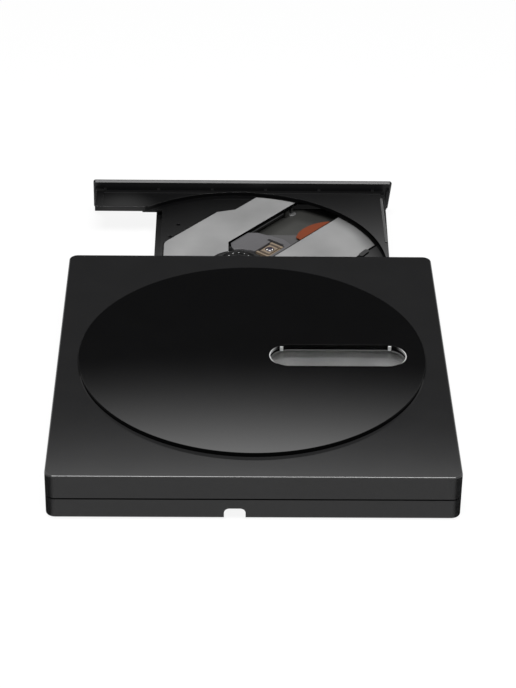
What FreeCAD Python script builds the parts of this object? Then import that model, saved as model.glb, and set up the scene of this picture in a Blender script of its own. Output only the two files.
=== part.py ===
import FreeCAD, Part
import math
import os

from FreeCAD import Placement, Rotation, Vector

# Slim external disc drive with its tray half out. Millimetres, +Z up, +Y the way the tray
# slides out. The origin is on the plane of the feet, under the middle of the case.

# Case
case_w = 147.0
case_d = 156.0
case_h = 17.7
foot_rise = 0.8
wall = 1.8
top_wall = 1.5
floor_wall = 1.8
corner_r = 3.5
top_edge = 0.6
bottom_edge = 0.5
seam_up = 8.0
seam_gap = 0.6
lip_h = 1.5
lip_gap = 0.1
rib_t = 1.2
rib_pitch = 39.0
pad_inset = 6.0
pad_front = 12.0

# Round plate and window in the top cover
plate_margin = 8.0
plate_rise = 1.6
plate_seat = 0.5
plate_gap = 0.3
plate_edge = 0.25
window_margin = 6.95
window_y = -0.6
window_l = 52.1
window_w = 15.6
film_t = 0.5
film_margin = 2.0
film_gap = 0.05

# Feet and case screws
foot_l = 14.0
foot_w = 6.0
foot_sink = 0.8
foot_edge = 0.3
foot_side = 13.5
foot_front = 12.0
foot_rear = 32.0
screw_r = 0.8
screw_head_r = 1.5
screw_head_h = 0.9
screw_head_edge = 0.3
screw_sink = 2.2
screw_gap = 0.1
cross_l = 2.0
cross_w = 0.3
cross_depth = 0.4
boss_r = 2.2
boss_inset = 4.2
boss_roof = 1.0

# Cable notch, bay and gland
notch_x = -6.6
notch_w = 7.65
notch_h = 4.0
notch_r = 1.9
bay_left = 15.5
bay_right = 28.5
bay_w = 14.0
bay_in = 7.0
bay_r = 3.0
bay_skin = 1.2
gland_bore_r = 1.5
gland_wall = 0.4
gland_up = 2.3
gland_l = 6.0
seat_gap = 0.05

# Bridge board and its plug, behind the drive
board_side = 3.0
board_w = 46.0
board_rear_gap = 1.0
board_front_gap = 2.0
board_up = 2.0
board_t = 1.2
board_r = 1.0
board_stand_r = 1.6
board_hole_r = 0.8
board_stand_left = 6.0
board_stand_right = 5.0
chip_w = 9.0
chip_h = 1.0
chip_x = 20.0
chip_gap = 0.6
crystal_l = 7.0
crystal_w = 3.5
crystal_h = 2.2
crystal_x = 33.0
crystal_r = 1.5
capacitor_n = 6
capacitor_w = 1.2
capacitor_l = 2.0
capacitor_h = 0.8
capacitor_pitch = 2.5
capacitor_x = 14.0
capacitor_y = 3.0
plug_side = 5.0
plug_w = 19.0
plug_h = 3.8
plug_wall = 0.8
plug_depth = 5.0
plug_reach = 0.8
plug_hollow = 3.0
plug_tongue = 1.2
tongue_inset = 1.5
tongue_root = 0.5
tongue_reach = 3.2
socket_gap = 0.4
socket_l = 8.0
socket_slit_l = 5.0
socket_hole_gap = 0.6

# Bracket that ties the drive's rear wall to the case floor
bracket_side = 23.2
bracket_pitch = 20.0
bracket_end = 5.0
bracket_foot = 4.0
bracket_t = 0.8
bracket_h = 6.5
bracket_r = 0.7
bracket_up = 4.0

# Drive module in the case, and the room it leaves to the case's sides
drive_room_left = 6.7
drive_room_right = 12.3
drive_room_front = 3.6
drive_room_rear = 27.4
drive_h = 12.7
sheet = 0.6
sheet_gap = 0.05
lid_gap = 0.2
lid_flange = 4.0
lid_sink = 0.25
lid_panel_left = 12.1
lid_panel_side = 6.0
lid_panel_near = 12.0
lid_panel_w = 26.0
lid_panel_r = 2.0
inner_gap = 0.3
bead_side = 29.0
bead_w = 8.0
bead_rise = 0.25
bead_rear = 30.6
bead_pitch = 50.0

# Drive's own board
main_side = 1.6
main_w = 21.4
main_rear = 5.0
main_front = 22.4
main_z0 = 6.0
main_t = 1.2
main_r = 1.0
main_stand_r = 1.8
main_stand_rear = 12.0
main_stand_front = 8.0
processor_w = 14.0
processor_h = 1.2
processor_y = 25.6
driver_y = 57.6
memory_w = 8.0
memory_l = 10.0
memory_h = 1.0
memory_y = 41.6
ribbon_w = 3.0
ribbon_l = 12.0
ribbon_h = 1.6
ribbon_side = 0.5
ribbon_front = 24.0
ribbon_slit = 0.4
ribbon_wall = 1.0

# Rails and their guides
tongue_z0 = 7.0
tongue_h = 2.0
slide_gap = 0.25
rail_t = 0.5
rail_start = 6.6
rail_stop = 1.2
rail_slot_l = 6.0
rail_slot_w = 1.2
rail_slot_in = 12.0
guide_web = 1.0
guide_flange = 1.0
guide_start = 2.6
guide_right_stop = 2.4
guide_left_stop = 18.8
peg_r = 0.85
peg_in = 8.0
peg_end = 13.6

# Tray, where tray_out is how far it stands open as drawn
tray_out = 69.0
tray_side_left = 29.6
tray_side_right = 4.2
tray_rear_gap = 3.6
tray_front_over = 0.4
spindle_in = 32.5
spindle_back = 62.5
well_r = 61.0
deck_z = 13.3
well_depth = 1.7
floor_t = 1.5
deck_t = 1.5
skirt_t = 1.2
skirt_z = 5.4
tongue_left_w = 2.5
tray_rib_t = 1.0
tray_rib_h = 1.6
tray_rib_n = 3
tray_rib_pitch = 14.0
left_rib_l = 19.2
left_rib_back = 7.3
right_rib_l = 27.0
right_rib_back = 15.3
wing_l = 16.3
wing_lip_w = 3.3
wing_lip_h = 0.7
wing_edge_w = 1.0
wing_floor_l = 8.5
wing_floor_t = 1.0
wing_floor_back = 1.3
flange_len = 60.0
flange_w0 = 0.4
flange_w1 = 1.4
flange_taper_l = 43.0
flange_drop = 0.4
flange_t = 1.5
pin_hole_r = 0.9
pin_hole_x = 7.2
pin_hole_y = 27.6
key_hole_w = 1.8
key_hole_x = 3.0
key_hole_y = 38.8

# Bezel with its button and lamp
bezel_t = 3.2
bezel_h = 13.3
bezel_z0 = 3.5
bezel_skin = 1.5
bezel_rim = 1.2
bezel_r = 1.0
bezel_edge = 0.4
bezel_bevel = 0.75
bezel_over_left = 0.6
bezel_over_right = 0.15
bezel_lean = 0.75
bezel_rib_n = 6
bezel_rib_left = 3.0
bezel_rib_right = 4.0
mouth_gap = 0.4
button_side = 11.8
button_up = 5.7
button_l = 9.6
button_w = 3.6
button_gap = 0.2
button_proud = 0.3
button_edge = 0.25
button_lip = 0.7
button_lip_t = 0.6
stem_r = 0.8
stem_end = 1.4
stem_root = 0.3
led_side = 21.8
led_w = 2.4
led_h = 1.2
pinhole_side = 25.3
pinhole_r = 0.6

# Small board behind the button, under the tray's wing
button_board_t = 1.0
button_board_drop = 4.0
button_board_l = 4.8
button_board_gap = 1.0
button_board_left = 3.0
button_board_right = 6.5
button_board_r = 0.8
button_stand_r = 1.2
button_stand_left = 6.0
button_stand_right = 11.8
button_stand_in = 5.8
switch_w = 6.0
switch_l = 4.0
switch_h = 2.6
switch_key_r = 0.7
switch_key_z = 1.4
lamp_w = 2.0
lamp_l = 2.5
lamp_h = 2.4

# Latch: post, lever and solenoid
lock_side = 3.2
lock_back = 25.8
lock_r = 1.0
lock_top = 7.2
lock_gap = 0.6
lock_slot_h = 0.4
pivot_side = 6.2
pivot_back = 12.8
pivot_r = 1.0
hinge_r = 2.0
hinge_gap = 0.1
lever_z0 = 5.7
lever_t = 1.2
lever_boss_r = 2.2
lever_l = 17.6
lever_out = 1.4
lever_in = 0.8
lever_root = 1.8
lever_neck = 7.6
hook_reach = 2.8
hook_nose = 2.6
hook_t = 0.7
lever_turn = 11.0
solenoid_side = 10.7
solenoid_w = 9.0
solenoid_l = 14.0
solenoid_back = 1.0
solenoid_up = 0.4
solenoid_wall = 0.8
solenoid_end = 1.0
solenoid_r = 0.6
coil_r = 1.5
coil_z = 7.5
coil_end = 0.5
core_r = 0.8
core_in = 0.8
core_out = 3.0

# Eject plunger in the tray's rear, and its spring
plunger_side = 12.2
plunger_z = 7.7
plunger_r = 1.2
plunger_edge = 0.5
plunger_head_r = 1.6
plunger_head_t = 1.5
plunger_out = 2.1
plunger_l = 11.0
tube_r = 2.2
tube_l = 19.0
tube_end = 1.0
tube_web = 1.2
spring_wire_r = 0.18
spring_turns = 5

# Bright sheet, laid out along the reader's slot, which is turned in plan
slot_turn = 50.4
slot_left = 15.7
slot_right = -6.5
slot_over = 0.4
deck_sheet = 0.4
deck_left = 35.9
deck_right = -32.5
deck_far = 62.0
deck_step_v = 31.4
deck_step_u0 = 29.4
deck_step_u1 = 36.0
deck_near = -22.0
deck_corner_r = 6.0
deck_slot_in = 4.2
deck_bevel = 1.8
deck_bevel_drop = 0.3
hub_gap = 0.8

# Reader's frame, its rods and its feed screw
frame_z = 6.0
frame_t = 0.6
frame_u0 = -14.0
frame_u1 = 75.0
frame_left = 26.2
frame_right = -12.6
frame_front_gap = 2.4
frame_wall_h = 3.0
frame_wall_t = 0.8
frame_wall_u = -2.0
frame_clear = 0.5
frame_rear_gap = 2.0
frame_slot_right = 2.0
frame_slot_w = 3.1
frame_slot_end = 6.0
lobe_w = 1.6
arm_w = 4.0
arm_l = 5.0
rod_z = 8.3
main_rod_r = 1.0
side_rod_r = 0.8
main_rod_v = 17.6
side_rod_v = -9.5
main_rod_u0 = 0.0
main_rod_u1 = 54.2
side_rod_u0 = 8.5
side_rod_u1 = 60.0
rod_end = 0.6
rod_rest_t = 2.0
rod_rest_far_t = 2.6
rod_rest_w = 2.8
rod_rest_h = 2.9
bore_gap = 0.05
screw_v = 23.6
lead_r = 1.1
lead_core_r = 0.6
lead_u0 = 2.5
lead_u1 = 53.5
lead_clear = 0.3
sled_motor_r = 2.9
sled_motor_l = 10.0
sled_motor_gap = 0.4
journal_in = 1.8
adjuster_u = 56.6
adjuster_v = 16.9
adjuster_washer_r = 1.9
adjuster_washer_t = 0.3
adjuster_r = 0.6

# Rubber grommets that carry the reader's frame, one at its near end and one at each side
near_damper_u = -17.0
near_damper_v = 4.0
right_damper_u = 30.0
right_damper_v = -16.5
left_damper_u = 38.0
left_damper_v = 29.0
damper_r = 2.2
damper_bore = 1.1
damper_groove = 0.55
damper_hole = 0.5
damper_lip = 0.6
damper_lip_low = 0.35
flat_head_r = 1.9
flat_head_h = 0.35
frame_screw_r = 0.45
frame_pilot_r = 0.5
frame_pilot_end = 1.0
head_slot_l = 2.4
head_slot_w = 0.4

# Sled, lens and ribbon
sled_z0 = 7.2
sled_top = 11.2
sled_cover_t = 0.4
sled_clear = 0.4
sled_near_r = 15.0
sled_near_u = 3.0
sled_bevel_u = 13.5
sled_bevel_v = 2.5
sled_right_u = 28.0
sled_nose_u = 30.1
sled_nose_v = 0.1
sled_shoulder_u = 27.5
sled_shoulder_v = 12.2
sled_left_u = 24.9
sled_shelf_l = 31.3
sled_shelf_z = 8.8
sled_arm_u0 = 3.0
sled_arm_u1 = 13.0
sled_arm_top = 0.4
side_arm_u0 = 12.5
side_arm_u1 = 18.0
side_arm_w = 1.8
side_arm_top = 0.5
lens_u = 19.9
lens_v = -0.4
lens_r = 1.9
lens_t = 0.4
lens_dome_r = 3.2
lens_lip = 0.4
lens_sink = 0.6
holder_l = 10.4
holder_w = 6.4
holder_top = 11.1
holder_z0 = 8.0
holder_gap = 0.4
holder_lift = 0.6
coil_step_in = 1.2
coil_step_w = 1.0
coil_step_h = 0.7
slit_w = 1.5
slit_right = 2.4
slit_left = 5.7
slit_depth = 3.0
flex_drop = 0.5
flex_t = 0.25
flex_under = 2.0
flex_left_u = 36.1
flex_corner_u = 36.7
flex_corner_v = -1.2
flex_bow_u = 46.6
flex_bow_v = 1.1
flex_right_u = 56.6
flex_right_v = -3.2

# Spindle
turntable_r = 11.9
turntable_t = 1.2
turntable_edge = 0.3
ring_r0 = 8.8
ring_r1 = 11.4
ring_t = 0.6
disc_lift = 0.5
hub_r = 7.4
hub_h = 2.7
hub_nose_h = 0.5
hub_nose_r = 5.8
hub_bore_r = 2.6
hub_shoulder_r = 8.3
rotor_r = 10.9
rotor_wall = 1.0
rotor_up = 1.4
shaft_r = 1.0
shaft_up = 0.4
motor_r = 9.2
motor_gap = 0.7
motor_base_t = 0.6
motor_base_over = 1.4
motor_pole_n = 9
motor_pole_w = 1.8
motor_pole_in = 4.2
claw_n = 3
claw_w = 2.4
claw_l = 2.6
claw_h = 1.0
claw_up = 2.0
claw_gap = 0.25
claw_shy = 0.05
claw_travel = 0.5
claw_nose_r = 0.3
claw_turn = 30.0

# Heights and places worked out from the sizes above
half_w = case_w / 2
half_d = case_d / 2
case_z0 = foot_rise
case_z1 = case_z0 + case_h
seam_z = case_z0 + seam_up
seam_z0 = seam_z - seam_gap / 2
seam_z1 = seam_z + seam_gap / 2
ceiling_z = case_z1 - top_wall
floor_z = case_z0 + floor_wall
plate_r = min(half_w, half_d) - plate_margin
plate_z0 = case_z1 - plate_seat
plate_z1 = case_z1 + plate_rise
window_x = plate_r - window_margin - window_l / 2
drive_z1 = ceiling_z - lid_gap
drive_z0 = drive_z1 - drive_h
drive_x0 = -half_w + drive_room_left
drive_x1 = half_w - drive_room_right
drive_x = (drive_x0 + drive_x1) / 2
drive_rear = -half_d + drive_room_rear
drive_front = half_d - drive_room_front
pan_x0 = drive_x0 + sheet + sheet_gap
pan_x1 = drive_x1 - sheet - sheet_gap
pan_floor = drive_z0 + sheet
pan_in0 = pan_x0 + sheet
pan_in1 = pan_x1 - sheet
lid_under = drive_z1 - sheet
bay_x0 = -half_w + bay_left
bay_x1 = half_w - bay_right
bay_y0 = -half_d + bay_in
bay_y1 = bay_y0 + bay_w
gland_y1 = bay_y1 + gland_l
board_x0 = drive_x0 + board_side
board_x1 = board_x0 + board_w
board_y0 = -half_d + wall + board_rear_gap
board_y1 = drive_rear - board_front_gap
board_z0 = case_z0 + notch_h + bay_skin + board_up
board_z1 = board_z0 + board_t
plug_x0 = drive_x0 + plug_side
plug_x1 = plug_x0 + plug_w
plug_mid = board_z1 + plug_h / 2
bracket_z0 = case_z0 + notch_h + bay_skin
bracket_y = bay_y0 + bay_w / 2
main_x0 = drive_x0 + main_side
main_x1 = main_x0 + main_w
main_y0 = drive_rear + main_rear
main_y1 = drive_front - main_front
main_z1 = main_z0 + main_t
tray_left = drive_x0 + tray_side_left
tray_right = drive_x1 - tray_side_right
tray_rear = drive_rear + tray_rear_gap + tray_out
tray_front = drive_front + tray_front_over + tray_out
spindle_x = tray_left + spindle_in
spindle_y = tray_front - spindle_back
rail_rear = drive_rear + rail_start
rail_front = drive_front - rail_stop
rail_z0 = tongue_z0 - slide_gap - rail_t
rail_z1 = tongue_z0 + tongue_h + slide_gap + rail_t
rail_out_right = pan_in1 - guide_web - slide_gap
tongue_right = rail_out_right - rail_t - slide_gap
tongue_left = tray_left - tongue_left_w
rail_out_left = tongue_left - slide_gap - rail_t
guide_out_left = rail_out_left - slide_gap - guide_web
guide_rear = drive_rear + guide_start
bezel_out = tray_front + bezel_t
bezel_near = bezel_out - bezel_skin
well_z = deck_z - well_depth
tray_under = well_z - floor_t
deck_under = deck_z - deck_t
wing_left = drive_x0 + sheet + inner_gap
wing_near = tray_front - wing_l
button_x = drive_x0 + button_side
button_z = bezel_z0 + button_up
led_x = drive_x0 + led_side
pinhole_x = drive_x0 + pinhole_side
button_board_z1 = deck_under - button_board_drop
button_board_y1 = tray_front - skirt_t - button_board_gap
lock_x = tray_left + lock_side
lock_y = drive_front + tray_front_over - lock_back
pivot_x = tray_left + pivot_side
pivot_y = tray_front - pivot_back
plunger_x = tray_left + plunger_side
sheet_top = well_z + deck_sheet
disc_z = sheet_top + disc_lift
turntable_z1 = disc_z - ring_t
turntable_z0 = turntable_z1 - turntable_t
frame_top = frame_z + frame_t
cos_t = math.cos(math.radians(slot_turn))
sin_t = math.sin(math.radians(slot_turn))


# Shapes used by several pieces

def block(x0, x1, y0, y1, z0, z1):
    return Part.makeBox(x1 - x0, y1 - y0, z1 - z0, Vector(x0, y0, z0))


def post(x, y, z0, z1, r):
    return Part.makeCylinder(r, z1 - z0, Vector(x, y, z0))


def bar(x, z, y0, y1, r):
    """Round bar along Y."""
    return Part.makeCylinder(r, y1 - y0, Vector(x, y0, z), Vector(0, 1, 0))


def prism(points, z0, z1):
    ring = [Vector(x, y, z0) for x, y in points]
    return Part.Face(Part.makePolygon(ring + ring[:1])).extrude(Vector(0, 0, z1 - z0))


def slab(x0, x1, y0, y1, z0, z1, r):
    """Block with its four upright corners rounded."""
    body = block(x0, x1, y0, y1, z0, z1)
    upright = [e for e in body.Edges if abs(e.Vertexes[0].Z - e.Vertexes[1].Z) > 1e-6]
    return body.makeFillet(r, upright)


def stadium(xc, yc, length, width, z0, z1):
    """Flat bar with round ends, long along X."""
    r = width / 2
    h = length / 2 - r
    a = Vector(xc - h, yc - r, z0)
    b = Vector(xc + h, yc - r, z0)
    c = Vector(xc + h + r, yc, z0)
    d = Vector(xc + h, yc + r, z0)
    e = Vector(xc - h, yc + r, z0)
    f = Vector(xc - h - r, yc, z0)
    edges = [
        Part.LineSegment(a, b).toShape(),
        Part.Arc(b, c, d).toShape(),
        Part.LineSegment(d, e).toShape(),
        Part.Arc(e, f, a).toShape(),
    ]
    return Part.Face(Part.Wire(edges)).extrude(Vector(0, 0, z1 - z0))


def facing(shape):
    """Turn a shape drawn flat so that its drawn Y is height and it runs along -Y."""
    turned = shape.copy()
    turned.rotate(Vector(0, 0, 0), Vector(1, 0, 0), 90)
    return turned


def edges_at(shape, z):
    """Edges that lie whole in the level plane z."""
    return [e for e in shape.Edges if all(abs(v.Z - z) < 1e-6 for v in e.Vertexes)]


def join(shapes):
    body = shapes[0]
    for other in shapes[1:]:
        body = body.fuse(other)
    return body.removeSplitter()


def to_slot(shape):
    """Put a piece drawn along the slot (u along X, v to its left) into the tray."""
    placed = shape.copy()
    turn = Rotation(Vector(0, 0, 1), slot_turn)
    placed.Placement = Placement(Vector(spindle_x, spindle_y, 0), turn).multiply(placed.Placement)
    return placed


def slot_bar(v, z, u0, u1, r):
    """Round bar along the slot, in slot coordinates."""
    return Part.makeCylinder(r, u1 - u0, Vector(u0, v, z), Vector(1, 0, 0))


def u_at(y, v):
    """Place along the slot, at v, of the line across the tray at y."""
    return (y - spindle_y - v * cos_t) / sin_t


# Case

def case_solid(z0, z1, inset):
    return slab(-half_w + inset, half_w - inset, -half_d + inset, half_d - inset,
                z0, z1, corner_r - inset)


def bezel_form(grow, z0, z1):
    """Bezel's outline drawn flat: its left end is upright, its right end leans outwards."""
    low = bezel_z0 - grow
    high = bezel_z0 + bezel_h + grow
    left = drive_x0 - bezel_over_left - grow
    right = drive_x1 + bezel_over_right + grow
    lean = bezel_lean * (high - low) / bezel_h
    body = prism([(left, low), (right - lean, low), (right + lean, high), (left, high)], z0, z1)
    upright = [e for e in body.Edges if abs(e.Vertexes[0].Z - e.Vertexes[1].Z) > 1e-6]
    return body.makeFillet(bezel_r + max(grow, -bezel_r / 2), upright)


def mouth():
    """Way for the tray through the case's front."""
    return facing(bezel_form(mouth_gap, -half_d - wall, -half_d + 2 * wall))


def boss_places():
    """Case screws: one near each corner, the left front one beside the drive."""
    x = half_w - wall - boss_inset
    near_drive = drive_x0 - inner_gap - boss_r
    y = half_d - wall - 2 * boss_inset
    return [(-x, -y), (x, -y), (near_drive, y), (x, y)]


def side_rib_places():
    return [-rib_pitch, 0.0, rib_pitch]


def side_ribs(z0, z1):
    """Cross ribs between the case's sides and the drive module."""
    ribs = []
    for y in side_rib_places():
        ribs.append(block(-half_w + wall, drive_x0 - inner_gap, y, y + rib_t, z0, z1))
        ribs.append(block(drive_x1 + inner_gap, half_w - wall, y, y + rib_t, z0, z1))
    return ribs


def window(z0, z1, grow=0.0):
    return stadium(window_x, window_y, window_l + 2 * grow, window_w + 2 * grow, z0, z1)


def top_cover():
    body = case_solid(seam_z1, case_z1, 0)
    body = body.makeFillet(top_edge, edges_at(body, case_z1))
    body = body.cut(case_solid(seam_z1 - 1, ceiling_z, wall))
    body = body.cut(case_solid(seam_z1 - 1, seam_z0 + lip_h + lip_gap, wall / 2))
    bosses = [post(x, y, seam_z1, ceiling_z, boss_r) for x, y in boss_places()]
    body = join([body] + bosses + side_ribs(seam_z1 + lip_h, ceiling_z))
    pilots = [post(x, y, seam_z1 - 1, ceiling_z - boss_roof, screw_r + bore_gap)
              for x, y in boss_places()]
    pocket = window(ceiling_z - 1, ceiling_z + film_t + film_gap, film_margin)
    seat = post(0, 0, plate_z0, case_z1 + 1, plate_r + plate_gap)
    return body.cut(pilots + [seat, window(ceiling_z, case_z1 + 1), pocket, mouth()])


def top_disc():
    body = post(0, 0, plate_z0, plate_z1, plate_r)
    body = body.makeFillet(plate_edge, edges_at(body, plate_z1))
    return body.cut(window(plate_z0 - 1, plate_z1 + 1))


def window_film():
    return window(ceiling_z, ceiling_z + film_t, film_margin - film_gap)


def cable_bay(grow):
    """Recess in the underside for the folded lead, or its skin when grown."""
    return slab(bay_x0 - grow, bay_x1 + grow, bay_y0 - grow, bay_y1 + grow,
                case_z0 if grow else case_z0 - 1, case_z0 + notch_h + grow, bay_r + grow)


def cable_notch(grow):
    """Straight way from the bay out through the rear wall, arched at its top."""
    w = notch_w + 2 * grow
    top = notch_h + grow
    flat = block(notch_x - w / 2, notch_x + w / 2, -1, top, 0, wall + bay_in + 1)
    high = [e for e in flat.Edges
            if abs(e.Vertexes[0].Y - top) < 1e-6 and abs(e.Vertexes[1].Y - top) < 1e-6
            and abs(e.Vertexes[0].Z - e.Vertexes[1].Z) > 1e-6]
    arch = facing(flat.makeFillet(notch_r, high))
    start = -half_d - 1 if not grow else -half_d + wall / 2
    arch.translate(Vector(0, start + wall + bay_in + 1, case_z0))
    return arch


def gland_block():
    r = gland_bore_r + gland_wall + bay_skin
    return block(notch_x - r, notch_x + r, bay_y1, gland_y1 - inner_gap,
                 case_z0, case_z0 + gland_up + r)


def foot_places():
    x = half_w - foot_side
    return [(sx * x, y) for sx in (-1, 1) for y in (-half_d + foot_rear, half_d - foot_front)]


def bottom_cover():
    body = case_solid(case_z0, seam_z0, 0)
    body = body.makeFillet(bottom_edge, edges_at(body, case_z0))
    body = body.cut(case_solid(floor_z, seam_z0 + 1, wall))
    lip = case_solid(seam_z0 - 1, seam_z0 + lip_h, wall / 2 + lip_gap)
    lip = lip.cut(case_solid(seam_z0 - 2, seam_z0 + lip_h + 1, wall))
    skin = cable_bay(bay_skin)
    channel = cable_notch(bay_skin)
    pads = [block(drive_x0 + pad_inset, drive_x1 - pad_inset, y, y + rib_t, floor_z, drive_z0)
            for y in side_rib_places() + [drive_front - pad_front]]
    bosses = [post(x, y, case_z0, seam_z0, boss_r) for x, y in boss_places()]
    stands = [post(x, y, floor_z, board_z0, board_stand_r) for x, y in board_stands()]
    body = join([body, lip, skin, channel, gland_block()] + pads + bosses + stands
                + side_ribs(floor_z, seam_z0))
    cuts = [cable_bay(0), cable_notch(0), mouth()]
    cuts.append(bar(notch_x, case_z0 + gland_up, bay_y1 - 1, gland_y1,
                    gland_bore_r + gland_wall + seat_gap))
    for x, y in foot_places():
        cuts.append(stadium(x, y, foot_l + 2 * seat_gap, foot_w + 2 * seat_gap,
                            case_z0 - 1, case_z0 + foot_sink))
    for x, y in boss_places():
        cuts.append(post(x, y, case_z0 - 1, case_z0 + screw_sink, screw_head_r + screw_gap))
        cuts.append(post(x, y, case_z0, seam_z0 + 1, screw_r + screw_gap))
    for x in bracket_hole_x():
        cuts.append(post(x, bracket_y, case_z0 + notch_h + seat_gap, bracket_z0 + 1,
                         screw_r + seat_gap))
    return body.cut(cuts)


def cable_gland():
    """Rubber sleeve round the lead where it enters the case."""
    z = case_z0 + gland_up
    sleeve = bar(notch_x, z, bay_y1, gland_y1, gland_bore_r + gland_wall)
    return sleeve.cut(bar(notch_x, z, bay_y1 - 1, gland_y1 + 1, gland_bore_r))


def rubber_feet():
    feet = []
    for x, y in foot_places():
        pad = stadium(x, y, foot_l, foot_w, 0, case_z0 + foot_sink)
        feet.append(pad.makeFillet(foot_edge, edges_at(pad, 0)))
    return Part.makeCompound(feet)


def pan_screw(x, y, z_head, z_tip):
    """Screw that points up, its domed head below, with a cross slot in the head."""
    head = post(x, y, z_head, z_head + screw_head_h, screw_head_r)
    head = head.makeFillet(screw_head_edge, edges_at(head, z_head))
    shank = post(x, y, z_head + screw_head_h, z_tip, screw_r)
    a = cross_l / 2
    b = cross_w / 2
    z = z_head + cross_depth
    slot = block(x - a, x + a, y - b, y + b, z_head - 1, z)
    cross = block(x - b, x + b, y - a, y + a, z_head - 1, z)
    return head.fuse(shank).cut([slot, cross])


def case_screws():
    head_z = case_z0 + screw_sink - screw_head_h
    return Part.makeCompound([pan_screw(x, y, head_z, ceiling_z - 2 * boss_roof) for x, y in boss_places()])


# Bridge board behind the drive

def board_stands():
    y = (bay_y0 + bay_y1) / 2
    return [(board_x0 + board_stand_left, y), (board_x1 - board_stand_right, y)]


def bridge_board():
    body = slab(board_x0, board_x1, board_y0, board_y1, board_z0, board_z1, board_r)
    return body.cut([post(x, y, board_z0 - 1, board_z1 + 1, board_hole_r) for x, y in board_stands()])


def bridge_chips():
    """Bridge chip, crystal and a row of small capacitors, clear of the plug."""
    z = board_z1
    y1 = board_y1 - plug_depth - chip_gap
    x = board_x0 + chip_x
    chip = block(x, x + chip_w, y1 - chip_w, y1, z, z + chip_h)
    x = board_x0 + crystal_x
    crystal = slab(x, x + crystal_l, y1 - crystal_w, y1, z, z + crystal_h, crystal_r)
    y = board_y0 + capacitor_y
    small = []
    for i in range(capacitor_n):
        x = board_x0 + capacitor_x + capacitor_pitch * i
        small.append(block(x, x + capacitor_w, y, y + capacitor_l, z, z + capacitor_h))
    return Part.makeCompound([chip, crystal] + small)


def sata_plug():
    """Plug on the bridge board whose tongue enters the drive's socket."""
    z = board_z1
    shell = block(plug_x0, plug_x1, board_y1 - plug_depth, board_y1 + plug_reach, z, z + plug_h)
    hollow = block(plug_x0 + plug_wall, plug_x1 - plug_wall, board_y1 - plug_hollow,
                   board_y1 + plug_reach + 1, z + plug_wall, z + plug_h - plug_wall)
    tongue = block(plug_x0 + tongue_inset, plug_x1 - tongue_inset,
                   board_y1 - plug_hollow - tongue_root, board_y1 + plug_reach + tongue_reach,
                   plug_mid - plug_tongue / 2, plug_mid + plug_tongue / 2)
    return shell.cut(hollow).fuse(tongue)


def bracket_hole_x():
    x = drive_x1 - bracket_side
    return (x - bracket_pitch, x)


def rear_bracket():
    """Bent sheet that ties the drive's rear wall to the case floor."""
    x0 = bracket_hole_x()[0] - bracket_end
    x1 = bracket_hole_x()[1] + bracket_end
    y1 = drive_rear
    foot = slab(x0, x1, bracket_y - bracket_foot, y1, bracket_z0, bracket_z0 + bracket_t, bracket_r)
    leg = block(x0, x1, y1 - bracket_t, y1, bracket_z0, bracket_z0 + bracket_h)
    body = join([foot, leg])
    down = [post(x, bracket_y, bracket_z0 - 1, bracket_z0 + bracket_t + 1, screw_r + screw_gap)
            for x in bracket_hole_x()]
    back = [bar(x, bracket_z0 + bracket_up, y1 - bracket_t - 1, y1 + 1, screw_r + screw_gap)
            for x in bracket_hole_x()]
    return body.cut(down + back)


def bracket_screws():
    """Two screws into the case floor and two into the drive's rear wall."""
    screws = []
    for x in bracket_hole_x():
        down = pan_screw(0, 0, 0, screw_head_h + bracket_t + bay_skin - 2 * seat_gap)
        down.rotate(Vector(0, 0, 0), Vector(1, 0, 0), 180)
        down.translate(Vector(x, bracket_y, bracket_z0 + bracket_t + screw_head_h))
        screws.append(down)
        back = pan_screw(0, 0, 0, screw_head_h + bracket_t + sheet)
        back.rotate(Vector(0, 0, 0), Vector(1, 0, 0), -90)
        back.translate(Vector(x, drive_rear - bracket_t - screw_head_h, bracket_z0 + bracket_up))
        screws.append(back)
    return Part.makeCompound(screws)


# Drive module, fixed parts

def main_stands():
    x = (main_x0 + main_x1) / 2
    return [(x, main_y0 + main_stand_rear), (x, main_y1 - main_stand_front)]


def socket_hole():
    return block(plug_x0 - socket_hole_gap, plug_x1 + socket_hole_gap, drive_rear - 1,
                 drive_rear + sheet + 1, board_z1 - socket_hole_gap, board_z1 + plug_h + socket_hole_gap)


def pan_beads(length, width, z0, z1):
    """Two shallow beads pressed across the pan's floor."""
    ys = (drive_rear + bead_rear, drive_rear + bead_rear + bead_pitch)
    return [stadium(drive_x, y, length, width, z0, z1) for y in ys]


def drive_pan():
    """Pressed steel tray of the drive: floor, two sides and the rear wall."""
    top = drive_z1 - sheet - inner_gap
    body = block(pan_x0, pan_x1, drive_rear + sheet, drive_front, drive_z0, top)
    body = body.cut(block(pan_in0, pan_in1, drive_rear + 2 * sheet, drive_front + 1, pan_floor, top + 1))
    bead_l = drive_x1 - drive_x0 - 2 * bead_side
    beads = pan_beads(bead_l, bead_w, drive_z0 - 1, drive_z0 + bead_rise)
    raised = pan_beads(bead_l - 4 * bead_rise, bead_w - 4 * bead_rise, pan_floor, pan_floor + bead_rise)
    stands = [post(x, y, pan_floor, main_z0, main_stand_r) for x, y in main_stands()]
    body = join([body] + raised + stands)
    holes = [bar(x, bracket_z0 + bracket_up, drive_rear, drive_rear + 2 * sheet + 1, screw_r + seat_gap)
             for x in bracket_hole_x()]
    pegs = [post(x, y, drive_z0 - 1, pan_floor + 1, peg_r + seat_gap)
            for x, y in peg_places() + [(lock_x, lock_y)]]
    step = block(pan_x0 - 1, pan_in0 + 1, drive_front - wing_l - 2 * inner_gap, drive_front + 1,
                 deck_under - 2 * inner_gap, top + 1)
    return body.cut(beads + holes + pegs + [step, socket_hole()])


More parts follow.
